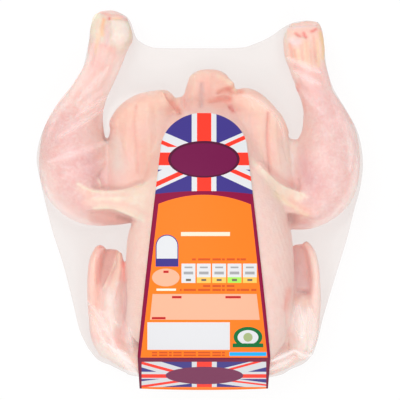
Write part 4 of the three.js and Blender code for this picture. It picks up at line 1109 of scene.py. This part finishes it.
def skin_material():
    """Raw skin: the painted tints, with painted shade and painted highlights among them, with fine mottling,
    pale feather pits on the thighs, and soft light within it."""
    material, tree, node = new_material("raw_skin")
    tint = node("ShaderNodeAttribute", attribute_name="tint")
    dotted = node("ShaderNodeAttribute", attribute_name="dotted").outputs["Fac"]
    where = node("ShaderNodeTexCoord").outputs["Object"]
    mottle = noise(node, where, *MOTTLE)
    blotch = noise(node, where, *BLOTCH)
    pits = node("ShaderNodeTexVoronoi", where)
    pits.inputs["Scale"].default_value = PIT_FINENESS
    both = node("ShaderNodeMath", mottle, blotch, operation="ADD")
    shade = node("ShaderNodeMapRange", both.outputs[0], 0.82, 1.18, 0.0, 1.0)
    ramp = mixed_colour(tree, node, shade.outputs[0], MOTTLE_DARK, MOTTLE_PALE)
    strength = node("ShaderNodeMapRange", dotted, 0.0, 1.0, PLAIN_MOTTLING, 1.0)
    mottled = mixed_colour(tree, node, strength.outputs[0], tint.outputs["Color"], ramp, "MULTIPLY")
    spot = node("ShaderNodeMapRange", pits.outputs["Distance"], 0.15, 0.5, 0.5, 0.0)
    spots = node("ShaderNodeMath", spot.outputs[0], dotted, operation="MULTIPLY")
    patchy = node("ShaderNodeMath", spots.outputs[0], blotch, operation="MULTIPLY")
    paler = mixed_colour(tree, node, patchy.outputs[0], mottled, linear_of(PIT_COLOUR))
    bumps = node("ShaderNodeMath", mottle, patchy.outputs[0], operation="ADD")
    bump = node("ShaderNodeBump", 0.5, 0.001)
    tree.links.new(bumps.outputs[0], bump.inputs["Height"])
    shader = principled(
        tree, node, Base_Color=paler, Roughness=0.48, Specular_IOR_Level=0.35, Normal=bump.outputs[0],
        Subsurface_Weight=0.5, Subsurface_Scale=0.006, Subsurface_Radius=(1.0, 0.42, 0.3),
    )
    node("ShaderNodeOutputMaterial", shader.outputs[0])
    return material


def film_material():
    """Clear film: mostly see-through, with a faint milky veil that thickens where the film is seen edge on,
    and white along the drawn strokes: the pleats' own milkiness with painted highlights on them, and painted
    sheen."""
    material, tree, node = new_material("clear_film")
    white = node("ShaderNodeAttribute", attribute_name="white").outputs["Fac"]
    where = node("ShaderNodeTexCoord").outputs["Object"]
    bump = node("ShaderNodeBump", 0.25, 0.0008)
    tree.links.new(noise(node, where, *RIPPLE), bump.inputs["Height"])
    slant = node("ShaderNodeLayerWeight", 0.5)
    tree.links.new(bump.outputs[0], slant.inputs["Normal"])
    steep = node("ShaderNodeMath", slant.outputs["Facing"], 4.0, operation="POWER")
    edge_on = node("ShaderNodeMath", steep.outputs[0], EDGE_ON_VEIL, FILM_VEIL, operation="MULTIPLY_ADD")
    veil = node("ShaderNodeMath", white, edge_on.outputs[0], operation="ADD", use_clamp=True)
    clear = node("ShaderNodeBsdfTransparent", CLEAR_FILM)
    # the white strokes: the pleats' milkiness with painted highlights, and painted sheen along the bird's
    # borders
    milk_and_highlight_share = node("ShaderNodeMapRange", white, 0.0, MILK_AND_HIGHLIGHT_FROM, 0.0, 1.0)
    milk_and_highlight = mixed_colour(tree, node, milk_and_highlight_share.outputs[0], FILM_GREY, FILM_MILK_AND_HIGHLIGHT)
    sheet = principled(
        tree, node, Base_Color=milk_and_highlight, Roughness=0.25, Specular_IOR_Level=0.8, Normal=bump.outputs[0]
    )
    mixed = node("ShaderNodeMixShader", veil.outputs[0], clear.outputs[0], sheet.outputs[0])
    node("ShaderNodeOutputMaterial", mixed.outputs[0])
    return material


class Artwork:
    """Flat shapes laid over one another on a material, in squares of the drawing sheet. A mask is one on
    its shape and none elsewhere."""

    def __init__(self, tree, node, ground):
        self.tree, self.node = tree, node
        uv = node("ShaderNodeUVMap", uv_map="sheet")
        size, corner = (SHEET_SQUARES, -SHEET_SQUARES, 0), (0, SHEET_SQUARES, 0)
        scaled = node("ShaderNodeVectorMath", uv.outputs[0], size, corner, operation="MULTIPLY_ADD")
        self.place = scaled.outputs[0]
        split = node("ShaderNodeSeparateXYZ", self.place)
        self.x, self.y = split.outputs[0], split.outputs[1]
        self.colour = linear_of(ground)

    def math(self, operation, *values):
        """One step of arithmetic on numbers or other nodes' outputs."""
        return self.node("ShaderNodeMath", *values, operation=operation).outputs[0]

    def between(self, value, low, high):
        """Where a value lies between two others."""
        return self.math("COMPARE", value, (low + high) / 2, (high - low) / 2)

    def both(self, *masks):
        """Where all masks are."""
        result = masks[0]
        for mask in masks[1:]:
            result = self.math("MULTIPLY", result, mask)
        return result

    def box(self, x0, y0, x1, y1):
        """An upright box from its left and top to its right and bottom."""
        return self.both(self.between(self.x, x0, x1), self.between(self.y, y0, y1))

    def words(self, x0, y0, x1, y1):
        """A box broken up unevenly, like a line of small words, by the sum of two sine waves along x."""
        waves = [self.math("SINE", self.math("MULTIPLY", self.x, turn)) for turn in WORD_WAVES]
        inked = self.math("GREATER_THAN", self.math("ADD", *waves), WORD_GAPS)
        return self.both(inked, self.box(x0, y0, x1, y1))

    def oval(self, x, y, half_x, half_y):
        """An oval round its middle: where the distance from it, over the half sizes, is less than one."""
        moved = self.node("ShaderNodeVectorMath", self.place, (-x, -y, 0), operation="ADD")
        shares = (1 / half_x, 1 / half_y, 0)
        scaled = self.node("ShaderNodeVectorMath", moved.outputs[0], shares, operation="MULTIPLY")
        far = self.node("ShaderNodeVectorMath", scaled.outputs[0], operation="LENGTH")
        return self.math("LESS_THAN", far.outputs["Value"], 1.0)

    def strip(self, point, slope, low, high):
        """Between two parallels, `low` and `high` squares under the line through a point with a slope."""
        x, y = point
        dot = self.node("ShaderNodeVectorMath", self.place, (-slope, 1, 0), operation="DOT_PRODUCT")
        return self.between(self.math("SUBTRACT", dot.outputs["Value"], y - slope * x), low, high)

    def under_arc(self, y, bend):
        """Below a shallow arc: y at the card's middle, dropping with the square of the distance from it."""
        off = self.math("SUBTRACT", self.x, CARD_MIDDLE)
        drop = self.math("MULTIPLY", self.math("MULTIPLY", off, off), bend)
        return self.math("GREATER_THAN", self.math("SUBTRACT", self.math("SUBTRACT", self.y, y), drop), 0.0)

    def wedge(self, y, left, right):
        """Between two slanting edges, each given by its x at y and its lean to the right for a square up."""
        above = self.math("SUBTRACT", y, self.y)
        sides = []
        for operation, (x, lean) in (("GREATER_THAN", left), ("LESS_THAN", right)):
            straight = self.math("SUBTRACT", self.x, self.math("MULTIPLY", above, lean))
            sides.append(self.math(operation, straight, x))
        return self.both(*sides)

    def lay(self, mask, colour):
        """Lays a colour over what is there, where the mask is."""
        self.colour = mixed_colour(self.tree, self.node, mask, self.colour, linear_of(colour))


ORANGE = (1.0, 0.475, 0.12)
PALE_ORANGE = (1.0, 0.68, 0.56)
PURPLE = (0.43, 0.05, 0.27)
PLUM = (0.53, 0.03, 0.23)
DARK_PLUM = (0.46, 0.01, 0.21)
DUSKY_PURPLE = (0.46, 0.17, 0.32)
DEEP_PURPLE = (0.32, 0.06, 0.20)
BLUE = (0.24, 0.20, 0.51)
RED = (0.97, 0.22, 0.155)
WHITE = (0.835, 0.84, 0.85)
PANEL_WHITE = (0.84, 0.84, 0.85)
WORD_WHITE = (0.99, 0.86, 0.78)
PALE_BAR = (1.0, 0.9, 0.83)
BROWN = (0.80, 0.33, 0.13)
DARK_RED = (0.72, 0.16, 0.16)
AMBER = (1.0, 0.76, 0.37)
GREEN = (0.64, 0.88, 0.35)
DARK_GREEN = (0.05, 0.42, 0.21)
SAGE = (0.62, 0.68, 0.48)
SKY = (0.12, 0.67, 0.92)
GREY = (0.62, 0.62, 0.63)
DARK_GREY = (0.45, 0.42, 0.36)

# The card's print, in squares of the sheet. An arc is its row at the card's middle and its bend. Sides are
# a row, then where the left and the right one cross it and how they lean.
CARD_MIDDLE = 204.0
WORD_WAVES = (1.3, 0.47)  # radians to a square
WORD_GAPS = -1.1  # the waves' sum under which a line of words has a gap
PLUM_ARC = (191, 0.0013)
FIELD_ARC = (194.8, 0.0044)
FIELD_SIDES = (193.0, (159.8, 0.117), (249.6, -0.10881))
PANEL_ROWS = (294, 319.8)
PANEL_SIDES = (294.0, (152.6, 0.1), (256.6, -0.12))
FOLD_ROW = 357.6
FLAP_ROWS = (361.8, 387)
FLAP_END_ROWS = (387, 395)
FLAP_SIDES = (141.6, 266.2)

# The row of five boxes: the first one's left, the step to the next, a box's width, its top and bottom, the
# top of its coloured foot, and its three lines of figures: inset, top, bottom and colour
BOXES_LEFT = 181.5
BOXES_STEP = 15.35
BOX_WIDTH = 13.9
BOX_ROWS = (263.6, 282.9)
BOX_FOOT = 277.2
BOX_FEET = (WHITE, AMBER, AMBER, GREEN, AMBER)
BOX_LINES = ((3, 266.6, 268.2, GREY), (2.2, 271.6, 274.4, GREY), (4.4, 278.8, 281.2, DARK_GREY))

# Shapes of the print, in the order in which they are laid: an oval's middle and half sizes, or the left,
# top, right and bottom of a box or a line of words
BREAST_OVALS = {
    "edge": ("oval", (203.9, 159.3, 35.8, 18.4), DEEP_PURPLE),
    "field": ("oval", (203.9, 159.6, 33.0, 16.4), PURPLE),
}
UPPER_PRINT = {
    "bar": ("box", (181, 232, 230, 236), WORD_WHITE),
    "arch_edge": ("oval", (167, 246, 11.4, 11.4), BLUE),
    "arch_edge_sides": ("box", (155.6, 246, 178.4, 266.6), BLUE),
    "arch": ("oval", (167, 246, 10.4, 10.4), WHITE),
    "arch_sides": ("box", (156.6, 246, 177.4, 265.6), WHITE),
    "arch_foot": ("box", (155.6, 258.6, 178.4, 266.6), BLUE),
    "pale_oval": ("oval", (165.8, 277.5, 13.7, 8.9), PALE_ORANGE),
    "mark_on_the_oval": ("box", (163.4, 270.6, 168.6, 273), DARK_RED),
    "line_above_the_boxes": ("words", (192, 258.3, 246, 260.5), BROWN),
    "first_line_below_them": ("words", (203, 284.9, 234.5, 287.1), BROWN),
    "second_line_below_them": ("words", (180, 288.8, 256.5, 291.0), BROWN),
    "pale_bar": ("box", (156.5, 288.6, 176, 290.8), PALE_BAR),
}
LOWER_PRINT = {
    "left_heading": ("box", (172, 296.0, 181.6, 298.4), DARK_RED),
    "right_heading": ("box", (225.4, 296.0, 240.8, 298.4), DARK_RED),
    "lower_heading": ("box", (151.8, 317.0, 165.6, 319.4), DARK_RED),
    "white_panel": ("box", (147.4, 322.3, 229.8, 349.8), PANEL_WHITE),
    "green_ring": ("oval", (248, 337, 14.4, 10.2), DARK_GREEN),
    "ring_inside": ("oval", (248, 337.3, 10.4, 7.2), WHITE),
    "ring_middle": ("oval", (248, 337.3, 4.6, 4.4), SAGE),
    "ring_bar": ("box", (232.6, 343.4, 263.4, 347.4), DARK_GREEN),
    "blue_bar": ("box", (229.4, 352.1, 266.4, 356), SKY),
    "upper_small_line": ("words", (152, 351.7, 226.6, 353.5), BROWN),
    "lower_small_line": ("words", (152, 354.4, 226.6, 356.2), BROWN),
}
FLAP_OVAL = {"field": ("oval", (204.4, 375.5, 38.8, 8.7), DUSKY_PURPLE)}

# The crossed flag, twice: the rows of its two halves, then its slanting arms and their red stripes, each
# with its half, its side, a point, a slope, and how far under the line it starts and ends, and then the rows
# and the columns of the upright cross, white and red
BREAST_FLAG = {
    "halves": ((100, 159), (159, 200)),
    "white_arms": (
        ("upper", "left", (166, 133), 0.43, 0, 17), ("upper", "right", (221.4, 141.8), -0.433, 0, 17),
        ("lower", "left", (157, 172), -0.455, 0, 17.6), ("lower", "right", (251, 172), 0.465, 0, 17.6),
    ),
    "red_arms": (
        ("upper", "left", (162.5, 140.4), 0.43, 0, 4.2), ("upper", "right", (224.7, 144.2), -0.45, 0, 4.4),
        ("lower", "left", (157, 181.5), -0.46, 0, 5.0), ("lower", "right", (251, 176.4), 0.44, 0, 4.6),
    ),
    "white_cross": ((147, 169.6), (191.7, 216.4)),
    "red_cross": ((152.5, 165.3), (197, 211.3)),
}
FLAP_FLAG = {
    "halves": ((361, 375.8), (375.8, 388)),
    "white_arms": (
        ("upper", "left", (161.9, 362), 0.3, 0, 11.4), ("upper", "right", (248.4, 362), -0.25, 0, 9.6),
        ("lower", "left", (140, 381.4), -0.12, 0, 8.2), ("lower", "right", (267.5, 383.3), 0.13, -0.4, 6.6),
    ),
    "red_arms": (
        ("upper", "left", (143.9, 362), 0.27, 0, 2.9), ("upper", "right", (253, 362), -0.27, 0, 2.3),
        ("lower", "left", (140, 385.6), -0.145, 0, 2.4), ("lower", "right", (267.5, 384.4), 0.12, 0, 1.7),
    ),
    "white_cross": ((371.8, 379), (191.8, 216.8)),
    "red_cross": ((374.2, 377.9), (196.8, 211.9)),
}


def lay_flag(art, flag, where=1.0):
    """Four slanting arms, each white with a red stripe, and the upright cross over them, held to a mask."""
    upper, lower = [art.both(where, art.between(art.y, *rows)) for rows in flag["halves"]]
    left = art.math("LESS_THAN", art.x, CARD_MIDDLE)
    masks = {"upper": upper, "lower": lower, "left": left, "right": art.math("SUBTRACT", 1.0, left)}
    for arms, colour in (("white_arms", WHITE), ("red_arms", RED)):
        for half, side, point, slope, start, end in flag[arms]:
            art.lay(art.both(masks[half], masks[side], art.strip(point, slope, start, end)), colour)
    whole = art.math("MAXIMUM", upper, lower)
    for cross, colour in (("white_cross", WHITE), ("red_cross", RED)):
        rows, columns = flag[cross]
        bars = art.math("MAXIMUM", art.between(art.y, *rows), art.between(art.x, *columns))
        art.lay(art.both(whole, bars), colour)


def lay_print(art, shapes):
    """Lays the named shapes of a table, one after another."""
    makers = {"box": art.box, "oval": art.oval, "words": art.words}
    for kind, squares, colour in shapes.values():
        art.lay(makers[kind](*squares), colour)


def lay_boxes(art):
    """The row of five white boxes, each with a coloured foot and three bars for its figures."""
    top, bottom = BOX_ROWS
    for k, foot in enumerate(BOX_FEET):
        x0 = BOXES_LEFT + BOXES_STEP * k
        x1 = x0 + BOX_WIDTH
        art.lay(art.box(x0, top, x1, bottom), WHITE)
        art.lay(art.box(x0, BOX_FOOT, x1, bottom), foot)
        for inset, y0, y1, colour in BOX_LINES:
            art.lay(art.box(x0 + inset, y0, x1 - inset, y1), colour)


def card_material():
    """The card's print: a crossed flag with an oval at the round end, orange below with plain panels,
    bars and boxes, and the same flag again on the flap."""
    material, tree, node = new_material("printed_card")
    art = Artwork(tree, node, BLUE)
    lay_flag(art, BREAST_FLAG)
    lay_print(art, BREAST_OVALS)
    art.lay(art.under_arc(*PLUM_ARC), PLUM)
    art.lay(art.both(art.under_arc(*FIELD_ARC), art.wedge(*FIELD_SIDES)), ORANGE)
    lay_print(art, UPPER_PRINT)
    lay_boxes(art)
    art.lay(art.both(art.between(art.y, *PANEL_ROWS), art.wedge(*PANEL_SIDES)), PALE_ORANGE)
    lay_print(art, LOWER_PRINT)
    art.lay(art.math("GREATER_THAN", art.y, FOLD_ROW), DARK_PLUM)
    across_flap = art.between(art.x, *FLAP_SIDES)
    flap = art.both(art.between(art.y, *FLAP_ROWS), across_flap)
    art.lay(flap, BLUE)
    lay_flag(art, FLAP_FLAG, flap)
    lay_print(art, FLAP_OVAL)
    art.lay(art.both(art.between(art.y, *FLAP_END_ROWS), across_flap), ORANGE)
    shader = principled(tree, node, Base_Color=art.colour, Roughness=0.5, Specular_IOR_Level=0.15)
    node("ShaderNodeOutputMaterial", shader.outputs[0])
    return material


def plain_material(name, colour, roughness):
    """One colour all over."""
    material, tree, node = new_material(name)
    shader = principled(tree, node, Base_Color=linear_of(colour), Roughness=roughness, Specular_IOR_Level=0.3)
    node("ShaderNodeOutputMaterial", shader.outputs[0])
    return material


# The scene

def add_floor():
    """A wide pale floor just under the pack."""
    corners = [(x * FLOOR_HALF, y * FLOOR_HALF, -FLOOR_DROP) for x, y in ((-1, -1), (1, -1), (1, 1), (-1, 1))]
    floor = object_of("floor", corners, [(0, 1, 2, 3)], smooth=False)
    material, tree, node = new_material("pale_floor")
    shader = principled(
        tree, node, Base_Color=(0.1, 0.1, 0.1, 1), Roughness=0.9, Specular_IOR_Level=0.0,
        Emission_Color=(1, 1, 1, 1), Emission_Strength=FLOOR_GLOW,
    )
    node("ShaderNodeOutputMaterial", shader.outputs[0])
    floor.data.materials.append(material)


def add_light(name, place, size, power):
    """A square soft light that faces the middle of the floor; places in metres."""
    data = bpy.data.lights.new(name, "AREA")
    data.size = size
    data.energy = power
    light = bpy.data.objects.new(name, data)
    light.location = place
    x, y, z = place
    light.rotation_euler = (math.acos(z / math.hypot(x, y, z)), 0, math.atan2(-y, -x) - math.pi / 2)
    bpy.context.scene.collection.objects.link(light)


def add_camera():
    """The camera looks straight down; SQUARE at DRAWN_HEIGHT fills one of the picture's columns."""
    data = bpy.data.cameras.new("camera")
    data.sensor_width = SENSOR
    data.lens = SENSOR * (EYE_HEIGHT - DRAWN_HEIGHT) / (SHEET_SQUARES * SQUARE)
    camera = bpy.data.objects.new("camera", data)
    camera.location = (0, 0, EYE_HEIGHT * MM)
    bpy.context.scene.collection.objects.link(camera)
    bpy.context.scene.camera = camera


def add_world(strength):
    """Even white light from all round."""
    world = bpy.data.worlds.new("studio")
    world.use_nodes = True
    background = world.node_tree.nodes["Background"]
    background.inputs["Color"].default_value = (1, 1, 1, 1)
    background.inputs["Strength"].default_value = strength
    bpy.context.scene.world = world
    bpy.context.scene.view_settings.view_transform = "Standard"


bird = bird_piece()
bird.data.materials.clear()
bird.data.materials.append(skin_material())
film = film_piece(bird)
film.data.materials.append(film_material())
card = card_piece()
card.data.materials.append(card_material())
card.data.materials.append(plain_material("card_back", CARD_BACK, 0.6))

for piece, node_name, slot_name in (
    (bird, "bag", "raw_skin_under_film"),
    (film, "bag", "raw_skin_under_film"),
    (card, "card", "printed_card"),
):
    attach(piece, "root")
    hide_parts(node_name)

add_floor()
for name, (place, size, power) in LIGHTS.items():
    add_light(name, place, size, power)
add_world(WORLD_LIGHT)
add_camera()
